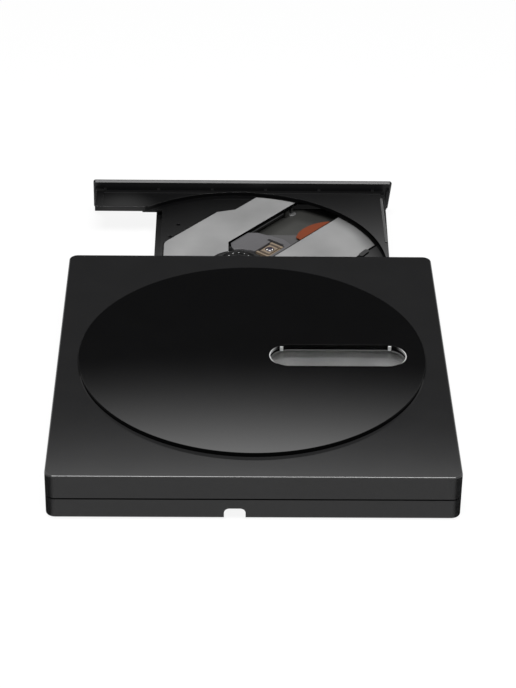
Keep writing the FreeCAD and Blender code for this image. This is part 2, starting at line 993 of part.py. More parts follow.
def drive_lid():
    """Pressed steel lid with short flanges outside the pan, and a panel sunk a little."""
    body = block(drive_x0, drive_x1, drive_rear, drive_front, drive_z1 - lid_flange, drive_z1)
    body = body.cut(block(drive_x0 + sheet, drive_x1 - sheet, drive_rear + sheet, drive_front + 1,
                          drive_z1 - lid_flange - 1, lid_under))
    x0 = window_x - lid_panel_left
    x1 = drive_x1 - lid_panel_side
    y0 = window_y - lid_panel_near
    y1 = y0 + lid_panel_w
    top = slab(x0, x1, y0, y1, drive_z1 - lid_sink, drive_z1 + 1, lid_panel_r)
    under = slab(x0 + sheet, x1 - sheet, y0 + sheet, y1 - sheet, lid_under - lid_sink, lid_under,
                 lid_panel_r - sheet)
    return body.fuse(under).cut([top, socket_hole()]).removeSplitter()


def lock_post():
    """Riveted post that the tray's latch hooks on."""
    body = post(lock_x, lock_y, drive_z0, pan_floor, peg_r)
    return body.fuse(post(lock_x, lock_y, pan_floor, lock_top, lock_r)).removeSplitter()


def peg_places():
    xs = ((pan_in1 + tongue_right) / 2, (guide_out_left + tongue_left) / 2)
    ys = (guide_rear + peg_in, drive_front - guide_left_stop - peg_end)
    return [(x, y) for x in xs for y in ys]


def guide(x_out, x_in, y0, y1):
    """Moulded channel that a rail runs in, open towards the tray, with pegs below."""
    x0 = min(x_out, x_in)
    x1 = max(x_out, x_in)
    z0 = rail_z0 - slide_gap
    z1 = rail_z1 + slide_gap
    body = block(x0, x1, y0, y1, pan_floor, z1 + guide_flange)
    toward = 1 if x_in > x_out else -1
    hollow0 = x_out + toward * guide_web
    hollow1 = x_in + toward
    body = body.cut(block(min(hollow0, hollow1), max(hollow0, hollow1), y0 - 1, y1 + 1, z0, z1))
    pegs = [post(x, y, drive_z0, pan_floor, peg_r) for x, y in peg_places() if x0 < x < x1]
    return join([body] + pegs)


def guide_right():
    return guide(pan_in1, tray_right + inner_gap, guide_rear, drive_front - guide_right_stop)


def guide_left():
    return guide(guide_out_left, tray_left - inner_gap, guide_rear, drive_front - guide_left_stop)


def main_board():
    body = slab(main_x0, main_x1, main_y0, main_y1, main_z0, main_z1, main_r)
    return body.cut([post(x, y, main_z0 - 1, main_z1 + 1, board_hole_r) for x, y in main_stands()])


def main_chips():
    """Two large square chips, memory and a ribbon connector on the drive's board."""
    z = main_z1
    xc = (main_x0 + main_x1) / 2
    half = processor_w / 2
    chips = [block(xc - half, xc + half, main_y0 + y, main_y0 + y + processor_w, z, z + processor_h)
             for y in (processor_y, driver_y)]
    half = memory_w / 2
    chips.append(block(xc - half, xc + half, main_y0 + memory_y, main_y0 + memory_y + memory_l,
                       z, z + memory_h))
    x1 = main_x1 - ribbon_side
    y0 = main_y1 - ribbon_front
    y1 = y0 + ribbon_l
    ribbon = block(x1 - ribbon_w, x1, y0, y1, z, z + ribbon_h)
    mid = z + ribbon_h / 2
    slit = block(x1 - ribbon_w / 2, x1 + 1, y0 + ribbon_wall, y1 - ribbon_wall,
                 mid - ribbon_slit / 2, mid + ribbon_slit / 2)
    return Part.makeCompound(chips + [ribbon.cut(slit)])


def drive_socket():
    """Socket on the drive's board that takes the bridge board's plug."""
    y0 = drive_rear + 2 * sheet
    x0 = plug_x0 - socket_gap
    x1 = plug_x1 + socket_gap
    body = block(x0, x1, y0, y0 + socket_l, main_z1, board_z1 + plug_h)
    body = body.cut(block(x0 - 1, x1 + 1, y0 - 1, main_y0, main_z1 - 1, board_z1))
    room = plug_tongue / 2 + inner_gap
    slit = block(plug_x0 + tongue_inset - inner_gap, plug_x1 - tongue_inset + inner_gap, y0 - 1,
                 y0 + socket_slit_l, plug_mid - room, plug_mid + room)
    return body.cut(slit)


# Rails

def rail(x_out, x_in):
    """Folded steel channel, open towards the tray's tongue, slotted near both ends."""
    toward = 1 if x_in > x_out else -1
    body = block(min(x_out, x_in), max(x_out, x_in), rail_rear, rail_front, rail_z0, rail_z1)
    hollow0 = x_out + toward * rail_t
    hollow1 = x_in + toward
    body = body.cut(block(min(hollow0, hollow1), max(hollow0, hollow1), rail_rear - 1, rail_front + 1,
                          rail_z0 + rail_t, rail_z1 - rail_t))
    mid = (rail_z0 + rail_z1) / 2
    slots = [facing_side(stadium(y, mid, rail_slot_l, rail_slot_w, x_out - 2, x_out + 2))
             for y in (rail_rear + rail_slot_in, rail_front - rail_slot_in)]
    return body.cut(slots)


def facing_side(shape):
    """Turn a shape drawn flat so that its drawn X runs along Y and its Y is height."""
    turned = shape.copy()
    turned.rotate(Vector(0, 0, 0), Vector(1, 1, 1), 120)
    return turned


def rail_right():
    return rail(rail_out_right, tray_right + inner_gap)


def rail_left():
    return rail(rail_out_left, tray_left - inner_gap)


# Tray

def inside_tray(z0, z1, inset):
    return block(tray_left + inset, tray_right - inset, tray_rear + inset, tray_front - inset, z0, z1)


def well(z0, z1, r):
    return post(spindle_x, spindle_y, z0, z1, r)


def slot_band(z0, z1, grow):
    """Band of the reader's slot, from behind the spindle to the tray's front wall."""
    band = to_slot(block(0, 2 * well_r, slot_right - grow, slot_left + grow, z0, z1))
    return band.common(inside_tray(z0, z1, skirt_t))


def tray_body():
    body = inside_tray(tray_under, deck_z, 0)
    skirt = inside_tray(skirt_z, tray_under, 0).cut(inside_tray(skirt_z - 1, tray_under + 1, skirt_t))
    under = inside_tray(tray_under - 1, deck_under, skirt_t)
    under = under.cut(well(tray_under - 2, deck_z, well_r + skirt_t))
    body = join([body.cut(under), skirt])
    tongues = [block(tongue_left, tray_left, tray_rear, tray_front - skirt_t,
                     tongue_z0, tongue_z0 + tongue_h),
               block(tray_right, tongue_right, tray_rear, tray_front - skirt_t,
                     tongue_z0, tongue_z0 + tongue_h)]
    return join([body] + tongues)


def wing():
    """Flat arm behind the bezel on the left, its outer and near edges raised."""
    plate = block(wing_left, tray_left, wing_near, tray_front, deck_under, deck_z)
    low = block(tray_left - wing_floor_l, tray_left, wing_near + wing_floor_back, tray_front,
                well_z - wing_floor_t, deck_under)
    front = block(pan_in0 + inner_gap, tray_left, tray_front - skirt_t, tray_front, skirt_z, deck_z)
    outer = block(wing_left, wing_left + wing_lip_w, wing_near, tray_front, deck_z, deck_z + wing_lip_h)
    near = block(wing_left, tray_left, wing_near, wing_near + wing_edge_w, deck_z, deck_z + wing_lip_h)
    stands = [post(x, y, button_board_z1, deck_under, button_stand_r) for x, y in button_stands()]
    return join([plate, low, front, outer, near] + stands)


def side_flange():
    """Thin lip along the tray's right edge, a little below its top, wider to the front."""
    y0 = tray_front - flange_len
    x0 = tray_right - skirt_t
    points = [(x0, y0), (tray_right + flange_w0, y0), (tray_right + flange_w1, y0 + flange_taper_l),
              (tray_right + flange_w1, tray_front), (x0, tray_front)]
    z1 = deck_z - flange_drop
    return prism(points, z1 - flange_t, z1)


def damper_places():
    """Three mounting points of the reader's frame, in slot coordinates."""
    return [(near_damper_u, near_damper_v), (right_damper_u, right_damper_v),
            (left_damper_u, left_damper_v)]


def damper_bosses():
    bosses = []
    for u, v in damper_places():
        wide = post(u, v, frame_top + damper_lip, tray_under, damper_r)
        thin = post(u, v, frame_z - damper_lip_low, frame_top + damper_lip, damper_bore - seat_gap)
        pilot = post(u, v, 0, tray_under - frame_pilot_end, frame_pilot_r)
        bosses.append(to_slot(wide.fuse(thin).cut(pilot)))
    return bosses


def tray_ribs():
    """Stiffening ribs under the tray's floor, in a row behind the spindle on each side."""
    ribs = []
    for k in range(tray_rib_n):
        y = spindle_y - left_rib_back - k * tray_rib_pitch
        ribs.append(block(tray_left, tray_left + left_rib_l, y, y + tray_rib_t,
                          tray_under - tray_rib_h, tray_under))
        y = spindle_y - right_rib_back - k * tray_rib_pitch
        ribs.append(block(tray_right - right_rib_l, tray_right, y, y + tray_rib_t,
                          tray_under - tray_rib_h, tray_under))
    return ribs


def plunger_tube():
    """Tube behind the tray's rear wall for the plunger and its spring, on a web."""
    tube = bar(plunger_x, plunger_z, tray_rear, tray_rear + tube_l, tube_r)
    half = tube_web / 2
    web = block(plunger_x - half, plunger_x + half, tray_rear, tray_rear + tube_l,
                plunger_z + plunger_head_r + inner_gap, tray_under)
    return [tube, web]


def latch_hinge():
    """Stepped pin that the latch lever turns on."""
    wide = post(pivot_x, pivot_y, lever_z0 + lever_t + hinge_gap, tray_under, hinge_r)
    return wide.fuse(post(pivot_x, pivot_y, skirt_z, tray_under, pivot_r))


def tray():
    body = join([tray_body(), wing(), side_flange(), latch_hinge()] + plunger_tube() + tray_ribs()
                + damper_bosses())
    cuts = [well(well_z, deck_z + 2, well_r), slot_band(tray_under - 1, well_z + 0.1, slot_over)]
    cuts.append(well(tray_under - 3, well_z + 1, turntable_r + hub_gap + slot_over))
    cuts.append(bar(plunger_x, plunger_z, tray_rear - 1, tray_rear + skirt_t + 0.1,
                    plunger_r + slide_gap))
    cuts.append(bar(plunger_x, plunger_z, tray_rear + skirt_t, tray_rear + tube_l - tube_end,
                    plunger_head_r + hinge_gap))
    cuts.append(block(lock_x - lock_r - lock_gap, lock_x + lock_r + lock_gap, tray_rear - 1,
                      tray_rear + skirt_t + 1, skirt_z - 1, lock_top + lock_slot_h))
    cuts.append(bar(button_x, button_z, tray_front - 2 * skirt_t, tray_front + 1, stem_r + slide_gap))
    cuts.append(led_bar(slide_gap, tray_front - 2 * skirt_t, tray_front + 1))
    cuts.append(post(tray_left + pin_hole_x, tray_front - pin_hole_y, tray_under - 1, well_z + 1,
                     pin_hole_r))
    x = tray_left + key_hole_x
    y = tray_front - key_hole_y
    cuts.append(block(x, x + key_hole_w, y, y + key_hole_w, tray_under - 1, well_z + 1))
    return body.cut(cuts)


# Bezel, button and indicator

def led_bar(grow, y0, y1):
    """Bar of the lamp window's section, or the hole for it when grown."""
    a = led_w / 2 + grow
    b = led_h / 2 + grow
    return block(led_x - a, led_x + a, y0, y1, button_z - b, button_z + b)


def button_stands():
    y = tray_front - button_stand_in
    return [(wing_left + button_stand_left, y), (tray_left - button_stand_right, y)]


def tray_bezel():
    """Front panel with a bevelled back edge, and a collar and ribs on the tray's front wall."""
    panel = bezel_form(0, -bezel_out, -bezel_near)
    panel = panel.makeFillet(bezel_edge, edges_at(panel, -bezel_out))
    panel = panel.makeChamfer(bezel_bevel, edges_at(panel, -bezel_near))
    collar = bezel_form(-bezel_bevel, -bezel_near - 0.1, -tray_front)
    collar = collar.cut(bezel_form(-bezel_bevel - bezel_rim, -bezel_near - 1, -tray_front + 1))
    collar = facing(collar).common(block(-half_w, half_w, tray_front, bezel_out, 0, deck_z))
    ribs = []
    x0 = wing_left + bezel_rib_left
    pitch = (tray_right - bezel_rib_right - x0) / (bezel_rib_n - 1)
    for k in range(bezel_rib_n):
        x = x0 + k * pitch
        ribs.append(block(x, x + rib_t, tray_front, bezel_near + 0.1, bezel_z0 + bezel_rim, deck_z))
    body = join([facing(panel), collar] + ribs)
    hole = facing(stadium(button_x, button_z, button_l + 2 * button_gap, button_w + 2 * button_gap,
                          -bezel_out - 1, -tray_front + 1))
    pin = bar(pinhole_x, button_z, tray_front - 1, bezel_out + 1, pinhole_r)
    return body.cut([hole, led_bar(seat_gap, tray_front - 1, bezel_out + 1), pin])


def eject_button():
    face = bezel_out + button_proud
    back = bezel_near - button_gap
    cap = stadium(button_x, button_z, button_l, button_w, -face, -back)
    cap = cap.makeFillet(button_edge, edges_at(cap, -face))
    flange = stadium(button_x, button_z, button_l + 2 * button_lip, button_w + 2 * button_lip,
                     -back, -back + button_lip_t)
    stem = bar(button_x, button_z, tray_front - stem_end, back - stem_root, stem_r)
    return join([facing(cap), facing(flange), stem])


def led_window():
    """Clear bar that carries the lamp's light from the small board to the bezel."""
    return led_bar(0, tray_front - stem_end, bezel_out)


def button_board():
    """Small board under the wing with the eject switch and the lamp on it."""
    z1 = button_board_z1
    y1 = button_board_y1
    board = slab(wing_left + button_board_left, tray_left - button_board_right,
                 y1 - button_board_l, y1, z1 - button_board_t, z1, button_board_r)
    y = y1 - button_board_gap
    half = switch_w / 2
    switch = block(button_x - half, button_x + half, y - switch_l, y, z1, z1 + switch_h)
    key = bar(button_x, z1 + switch_key_z, y - 0.5, y + 0.4, switch_key_r)
    half = lamp_w / 2
    lamp = block(led_x - half, led_x + half, y - lamp_l / 2, y + 0.5, z1, z1 + lamp_h)
    return join([board, switch, key, lamp])


# Latch and plunger

def latch_lever():
    """Hook on an upright pin, drawn hooked and then swung clear of the lock post."""
    side = pivot_x - lever_out
    inner = pivot_x + lever_in
    tip = pivot_y - lever_l
    nose = tip + hook_nose
    hook = [(side, pivot_y), (side, nose + hook_t), (side - hook_reach, nose + hook_t),
            (side - hook_reach, nose), (side, tip), (inner, tip), (inner, tip + lever_neck),
            (pivot_x + lever_root, pivot_y)]
    z1 = lever_z0 + lever_t
    body = join([prism(hook, lever_z0, z1), post(pivot_x, pivot_y, lever_z0, z1, lever_boss_r)])
    body = body.cut(post(pivot_x, pivot_y, lever_z0 - 1, z1 + 1, pivot_r + bore_gap))
    body.rotate(Vector(pivot_x, pivot_y, 0), Vector(0, 0, 1), lever_turn)
    return body


def latch_solenoid():
    """Coil, frame and plunger link under the tray floor, beside the latch."""
    x0 = tray_left + solenoid_side
    x1 = x0 + solenoid_w
    y1 = pivot_y - solenoid_back
    y0 = y1 - solenoid_l
    frame = slab(x0, x1, y0, y1, skirt_z + solenoid_up, tray_under, solenoid_r)
    frame = frame.cut(block(x0 + solenoid_wall, x1 - solenoid_wall, y0 + solenoid_end,
                            y1 - solenoid_end, skirt_z, tray_under - solenoid_wall))
    xc = (x0 + x1) / 2
    coil = bar(xc, coil_z, y0 + coil_end, y1 - coil_end, coil_r)
    core = bar(xc, coil_z, y1 - core_in, y1 + core_out, core_r)
    return join([frame, coil, core])


def eject_plunger():
    """Sprung rod in the tray's rear that pushes the tray off the drive's rear wall."""
    tip = tray_rear - plunger_out
    rod = bar(plunger_x, plunger_z, tip, tip + plunger_l, plunger_r)
    rod = rod.makeFillet(plunger_edge, [e for e in rod.Edges if abs(e.CenterOfMass.y - tip) < 1e-6])
    y = tray_rear + skirt_t + inner_gap
    return join([rod, bar(plunger_x, plunger_z, y, y + plunger_head_t, plunger_head_r)])


def eject_spring():
    """Light coil between the plunger's tip and the end of its tube."""
    y0 = tray_rear + plunger_l - plunger_out + inner_gap
    y1 = tray_rear + tube_l - tube_end - inner_gap
    coil = Part.makeHelix((y1 - y0) / spring_turns, y1 - y0, plunger_r)
    start = Part.Wire(Part.makeCircle(spring_wire_r, Vector(plunger_r, 0, 0), Vector(0, 1, 0)))
    body = Part.Wire(coil.Edges).makePipeShell([start], True, False)
    body.rotate(Vector(0, 0, 0), Vector(1, 0, 0), -90)
    body.translate(Vector(plunger_x, y0, plunger_z))
    return body


# Bright sheet in the well

def deck_outline(z0, z1):
    """Flat outline: two edges along the slot, a step on the left, a square near end."""
    points = [(deck_near, deck_right), (deck_far, deck_right), (deck_far, deck_step_v),
              (deck_step_u1, deck_step_v), (deck_step_u0, deck_left), (deck_near, deck_left)]
    return to_slot(prism(points, z0, z1))


def deck_plate():
    edge = well_r - hinge_gap
    body = deck_outline(well_z, sheet_top).common(well(well_z, sheet_top, edge))
    x0 = tray_left + skirt_t + inner_gap
    body = body.common(block(x0, tray_right, tray_rear, tray_front, well_z, sheet_top))
    y0 = spindle_y + (deck_left + (x0 - spindle_x) * sin_t) / cos_t
    corner = [e for e in body.Edges if abs(e.Vertexes[0].Z - e.Vertexes[-1].Z) > 1e-6
              and math.hypot(e.Vertexes[0].X - x0, e.Vertexes[0].Y - y0) < 0.01]
    body = body.makeFillet(deck_corner_r, corner)
    skirt = well(well_z, sheet_top, edge + 1)
    skirt = skirt.cut(Part.makeCone(edge + 0.2, edge - deck_bevel, deck_bevel_drop,
                                    Vector(spindle_x, spindle_y, sheet_top - deck_bevel_drop)))
    skirt = skirt.cut(well(well_z - 1, sheet_top - deck_bevel_drop, edge + 2))
    slot = to_slot(block(0, 2 * well_r, slot_right, slot_left, well_z - 1, sheet_top + 1))
    slot = slot.common(block(spindle_x - deck_slot_in, tray_right, tray_rear, tray_front,
                             well_z - 1, sheet_top + 1))
    hole = well(well_z - 1, sheet_top + 1, turntable_r + hub_gap)
    return body.cut([skirt, slot, hole])


# Reader frame and what it carries

def rod_rest(u0, u1, v):
    """Upright block that holds an end of a rod."""
    half = rod_rest_w / 2
    return block(u0, u1, v - half, v + half, frame_top, frame_top + rod_rest_h)


def traverse_frame():
    """Folded steel frame: floor, two upright sides and three mounting lobes."""
    base = block(frame_u0, frame_u1, frame_right, frame_left, frame_z, frame_top)
    sides = [block(u0, side_rod_u1, v, v + frame_wall_t, frame_top, frame_top + frame_wall_h)
             for u0, v in ((frame_wall_u, frame_right), (lead_u0 + 1, frame_left - frame_wall_t))]
    lobes = [post(u, v, frame_z, frame_top, damper_r + lobe_w) for u, v in damper_places()]
    half = arm_w / 2
    (near_u, near_v), (right_u, right_v), (left_u, left_v) = damper_places()
    arms = [block(near_u, near_u + arm_l, near_v - half, near_v + half, frame_z, frame_top),
            block(right_u - half, right_u + half, right_v, right_v + arm_l, frame_z, frame_top),
            block(left_u - half, left_u + half, left_v - arm_l, left_v, frame_z, frame_top)]
    rests = [rod_rest(main_rod_u0, main_rod_u0 + rod_rest_t, main_rod_v),
             rod_rest(main_rod_u1 - rod_rest_far_t, main_rod_u1, main_rod_v),
             rod_rest(side_rod_u0, side_rod_u0 + rod_rest_t, side_rod_v),
             rod_rest(side_rod_u1 - rod_rest_far_t, side_rod_u1, side_rod_v),
             rod_rest(lead_u1 - rod_rest_t, lead_u1, screw_v)]
    body = join([base] + sides + lobes + arms + rests)
    cuts = [slot_bar(main_rod_v, rod_z, main_rod_u0 + rod_end, main_rod_u1 - rod_end, main_rod_r + seat_gap),
            slot_bar(side_rod_v, rod_z, side_rod_u0 + rod_end, side_rod_u1 - rod_end, side_rod_r + seat_gap),
            slot_bar(screw_v, rod_z, lead_u1 - rod_rest_t - 1, lead_u1 - rod_end, lead_core_r + bore_gap)]
    cuts += [post(u, v, frame_z - 1, frame_top + 1, damper_r - damper_groove + seat_gap)
             for u, v in damper_places()]
    v0 = frame_right + frame_slot_right
    cuts.append(block(main_rod_u0 + frame_slot_end + 1, side_rod_u1 - frame_slot_end, v0,
                      v0 + frame_slot_w, frame_z - 1, frame_top + 1))
    placed = to_slot(body.cut(cuts))
    return placed.common(block(lock_x + lock_r + 2 * frame_clear, tray_right - skirt_t - frame_clear,
                               tray_rear + frame_rear_gap, tray_front - skirt_t - frame_front_gap,
                               0, tray_under - slide_gap))


def dampers():
    """Grooved rubber grommets between the frame and the tray's bosses."""
    rings = []
    for u, v in damper_places():
        body = post(u, v, frame_z - damper_lip_low, frame_top + damper_lip, damper_r)
        groove = post(u, v, frame_z, frame_top, damper_r + 1)
        groove = groove.cut(post(u, v, frame_z - 1, frame_top + 1, damper_r - damper_groove))
        rings.append(to_slot(body.cut([groove, post(u, v, 0, tray_under, damper_bore)])))
    return Part.makeCompound(rings)


def traverse_screws():
    """Flat-headed screws that hold the grommets up against the tray's bosses."""
    screws = []
    z = frame_z - damper_lip_low
    a = head_slot_l / 2
    b = head_slot_w / 2
    for u, v in damper_places():
        head = post(u, v, z - flat_head_h, z, flat_head_r)
        shank = post(u, v, z, tray_under - frame_pilot_end - hinge_gap, frame_screw_r)
        slot = block(u - a, u + a, v - b, v + b, z - 1, z - flat_head_h / 2)
        screws.append(to_slot(head.fuse(shank).cut(slot)))
    return Part.makeCompound(screws)


def rod_main():
    return to_slot(slot_bar(main_rod_v, rod_z, main_rod_u0 + rod_end, main_rod_u1 - rod_end, main_rod_r))


def rod_side():
    return to_slot(slot_bar(side_rod_v, rod_z, side_rod_u0 + rod_end, side_rod_u1 - rod_end, side_rod_r))


def lead_screw():
    """Feed screw with a plain journal at each end."""
    body = slot_bar(screw_v, rod_z, lead_u0, lead_u1 - rod_rest_t - lead_clear, lead_r)
    journal = slot_bar(screw_v, rod_z, lead_u0 - journal_in, lead_u1 - rod_end - slot_over / 2, lead_core_r)
    return to_slot(join([body, journal]))


def sled_motor():
    """Small motor with its can flattened above and below, at the screw's near end."""
    u1 = lead_u0 - sled_motor_gap
    u0 = u1 - sled_motor_l
    can = slot_bar(screw_v, rod_z, u0, u1, sled_motor_r)
    flat = block(u0 - 1, u1 + 1, screw_v - sled_motor_r, screw_v + sled_motor_r,
                 frame_top, 2 * rod_z - frame_top)
    hole = slot_bar(screw_v, rod_z, lead_u0 - journal_in - sled_motor_gap, u1 + 1, lead_core_r + bore_gap)
    return to_slot(can.common(flat).cut(hole))


def adjuster_post():
    """Small upright screw with a pale washer, just past the far end of the main rod."""
    u = adjuster_u
    v = adjuster_v
    washer = post(u, v, frame_top, frame_top + adjuster_washer_t, adjuster_washer_r)
    return to_slot(join([washer, post(u, v, frame_top, tray_under - inner_gap, adjuster_r)]))


def spindle_motor():
    """Fixed half of the spindle motor: base, windings' ring and bearing sleeve."""
    base_top = frame_top + motor_base_t
    base = post(0, 0, frame_top, base_top, motor_r + motor_base_over)
    yoke = post(0, 0, frame_top, turntable_z0 - motor_gap, motor_r)
    pockets = [post(0, 0, frame_top + motor_base_t / 2, turntable_z0, shaft_r + bore_gap)]
    half = motor_pole_w / 2
    for k in range(motor_pole_n):
        pocket = block(motor_pole_in, motor_r - motor_base_over, -half, half, base_top, turntable_z0)
        pocket.rotate(Vector(0, 0, 0), Vector(0, 0, 1), 360 / motor_pole_n * k)
        pockets.append(pocket)
    return to_slot(join([base, yoke]).cut(pockets))


def turntable():
    """Disc carrier with its rotor cup below and the hub for the disc's middle hole."""
    plate = post(0, 0, turntable_z0, turntable_z1, turntable_r)
    plate = plate.makeChamfer(turntable_edge, edges_at(plate, turntable_z1))
    cup = post(0, 0, frame_top + rotor_up, turntable_z0, rotor_r)
    cup = cup.cut(post(0, 0, 0, turntable_z0, rotor_r - rotor_wall))
    shaft = post(0, 0, frame_top + shaft_up, turntable_z0, shaft_r)
    hub_top = turntable_z1 + hub_h
    hub = post(0, 0, turntable_z1, hub_top, hub_r)
    nose = Part.makeCone(hub_r, hub_nose_r, hub_nose_h, Vector(0, 0, hub_top))
    shoulder = post(0, 0, turntable_z1, disc_z, hub_shoulder_r)
    body = join([plate, cup, shaft, shoulder, hub, nose])
    cuts = [post(0, 0, hub_top, hub_top + 2 * hub_nose_h, hub_bore_r)]
    half = claw_w / 2 + claw_gap
    for k in range(claw_n):
        slot = block(hub_r - claw_shy - claw_l - claw_travel - claw_gap, hub_r + 1, -half, half,
                     turntable_z1 + claw_up - claw_gap, hub_top + 2 * hub_nose_h)
        slot.rotate(Vector(0, 0, 0), Vector(0, 0, 1), 360 / claw_n * k + claw_turn)
        cuts.append(slot)
    return to_slot(body.cut(cuts))


def turntable_ring():
    body = post(0, 0, turntable_z1, disc_z, ring_r1)
    return to_slot(body.cut(post(0, 0, turntable_z1 - 1, disc_z + 1, ring_r0)))


def hub_claw(k):
    """Sprung claw in the hub's side, its nose rounded and level with the hub."""
    z0 = turntable_z1 + claw_up
    r1 = hub_r - claw_shy
    body = block(r1 - claw_l, r1, -claw_w / 2, claw_w / 2, z0, z0 + claw_h)
    nose = [e for e in body.Edges if abs(e.CenterOfMass.x - r1) < 1e-6]
    body = body.makeFillet(claw_nose_r, nose)
    body.rotate(Vector(0, 0, 0), Vector(0, 0, 1), 360 / claw_n * k + claw_turn)
    return to_slot(body)


def sled_outline(z0, z1):
    """Sled between the slot's edges: a blunt far end and a bevelled corner near the hub."""
    right = slot_right + sled_clear
    left = slot_left - sled_clear
    points = [(sled_near_u, right), (sled_right_u, right), (sled_nose_u, sled_nose_v),
              (sled_shoulder_u, sled_shoulder_v), (sled_left_u, left), (sled_bevel_u, left),
              (sled_bevel_u - sled_bevel_v, left - sled_bevel_v)]
    body = prism(points, z0, z1)
    return body.cut(post(0, 0, z0 - 1, z1 + 1, sled_near_r))


def sled_shelf():
    """Low shelf beyond the sled, its far end square to the tray."""
    right = slot_right + sled_clear
    left = slot_left - sled_clear
    y = spindle_y + sled_shelf_l
    points = [(lens_u, right), (u_at(y, right), right), (u_at(y, left), left), (lens_u, left)]
    return prism(points, sled_z0, sled_shelf_z)


def holder_box(gap, z0, z1):
    return block(lens_u - holder_l / 2 - gap, lens_u + holder_l / 2 + gap,
                 lens_v - holder_w / 2 - gap, lens_v + holder_w / 2 + gap, z0, z1)


def holder_way(z0):
    """Room for the lens holder, open towards the hub, with a narrow slit beyond it."""
    half = holder_w / 2 + holder_gap
    room = holder_box(holder_gap, z0, sled_top + 1)
    near = block(0, lens_u, lens_v - half, lens_v + half, z0, sled_top + 1)
    u = lens_u + holder_l / 2
    slit = block(u, u + slit_w, lens_v - slit_right, lens_v + slit_left, sled_top - slit_depth,
                 sled_top + 1)
    return room.fuse([near, slit])


def sled_base():
    """Cast carriage with an arm on each rod and a well for the lens holder."""
    body = sled_outline(sled_z0, sled_top - sled_cover_t)
    left = block(sled_arm_u0, sled_arm_u1, slot_left - sled_clear - 1, screw_v - lead_r - hinge_gap,
                 sled_z0, rod_z + main_rod_r + sled_arm_top)
    right = block(side_arm_u0, side_arm_u1, side_rod_v - side_arm_w, slot_right + sled_clear + 1,
                  sled_z0, rod_z + side_rod_r + side_arm_top)
    body = join([body, sled_shelf(), left, right])
    cuts = [slot_bar(main_rod_v, rod_z, 0, side_rod_u1, main_rod_r + bore_gap)]
    reach = side_rod_r + bore_gap
    cuts.append(block(0, side_rod_u1, side_rod_v - 2 * side_arm_w, side_rod_v + reach,
                      rod_z - reach, rod_z + reach))
    cuts.append(holder_way(holder_z0 - slide_gap))
    return to_slot(body.cut(cuts))


def sled_cover():
    body = sled_outline(sled_top - sled_cover_t, sled_top)
    return to_slot(body.cut(holder_way(sled_z0)))


def lens_holder():
    """Moving frame for the lens, with a coil step on each side."""
    body = holder_box(0, holder_z0 + holder_lift, holder_top)
    half = holder_w / 2
    sides = [block(lens_u - holder_l / 2 + coil_step_in, lens_u + holder_l / 2 - coil_step_in,
                   v, v + coil_step_w, holder_top - coil_step_h, holder_top + 1)
             for v in (lens_v - half, lens_v + half - coil_step_w)]
    bore = post(lens_u, lens_v, holder_z0 - 1, holder_top + 1, lens_r - lens_lip)
    seat = post(lens_u, lens_v, holder_top - lens_sink, holder_top + 1, lens_r + seat_gap)
    return to_slot(body.cut(sides + [bore, seat]))


def lens():
    """Small domed lens in the holder's seat."""
    z0 = holder_top - lens_sink
    z1 = z0 + lens_t
    body = post(lens_u, lens_v, z0, z1, lens_r)
    centre = z1 - math.sqrt(lens_dome_r ** 2 - lens_r ** 2)
    dome = Part.makeSphere(lens_dome_r, Vector(lens_u, lens_v, centre))
    dome = dome.common(post(lens_u, lens_v, z1, z1 + lens_dome_r, lens_r))
    return to_slot(join([body, dome]))


def pickup_flex():
    """Thin ribbon bowed along the slot's right edge and tucked under the bright sheet."""
    z0 = tray_under - flex_drop
    edge = slot_right - flex_under
    a = Vector(flex_left_u, edge, z0)
    b = Vector(flex_corner_u, flex_corner_v, z0)
    m = Vector(flex_bow_u, flex_bow_v, z0)
    c = Vector(flex_right_u, flex_right_v, z0)
    d = Vector(flex_right_u + flex_under, edge, z0)
    outline = Part.Wire([
        Part.LineSegment(a, b).toShape(),
        Part.Arc(b, m, c).toShape(),
        Part.LineSegment(c, d).toShape(),
        Part.LineSegment(d, a).toShape(),
    ])
    return to_slot(Part.Face(outline).extrude(Vector(0, 0, flex_t)))


def main():
    pieces = {
        "top_cover": top_cover,
        "top_disc": top_disc,
        "window_film": window_film,
        "bottom_cover": bottom_cover,
        "rubber_feet": rubber_feet,
        "case_screws": case_screws,
        "cable_gland": cable_gland,
        "bridge_board": bridge_board,
        "bridge_chips": bridge_chips,
        "sata_plug": sata_plug,
        "rear_bracket": rear_bracket,
        "bracket_screws": bracket_screws,
        "drive_pan": drive_pan,
        "drive_lid": drive_lid,
        "lock_post": lock_post,
        "guide_right": guide_right,
        "guide_left": guide_left,
        "main_board": main_board,
        "main_chips": main_chips,
        "drive_socket": drive_socket,
        "rail_right": rail_right,
        "rail_left": rail_left,
        "tray": tray,
        "tray_bezel": tray_bezel,
        "eject_button": eject_button,
        "led_window": led_window,
        "button_board": button_board,
        "latch_lever": latch_lever,
        "latch_solenoid": latch_solenoid,
        "eject_plunger": eject_plunger,
        "eject_spring": eject_spring,
        "deck_plate": deck_plate,
        "traverse_frame": traverse_frame,
        "dampers": dampers,
        "traverse_screws": traverse_screws,
        "rod_main": rod_main,
        "rod_side": rod_side,
        "lead_screw": lead_screw,
        "sled_motor": sled_motor,
        "adjuster_post": adjuster_post,
        "spindle_motor": spindle_motor,
        "turntable": turntable,
        "turntable_ring": turntable_ring,
        "sled_base": sled_base,
        "sled_cover": sled_cover,
        "lens_holder": lens_holder,
        "lens": lens,
        "pickup_flex": pickup_flex,
    }
    os.makedirs("parts", exist_ok=True)
    for name, make in pieces.items():
        make().exportStep(os.path.join("parts", name + ".step"))
    for k in range(claw_n):
        hub_claw(k).exportStep(os.path.join("parts", "hub_claw_%d.step" % (k + 1)))


main()
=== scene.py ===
import math

import bpy
from mathutils import Matrix, Vector


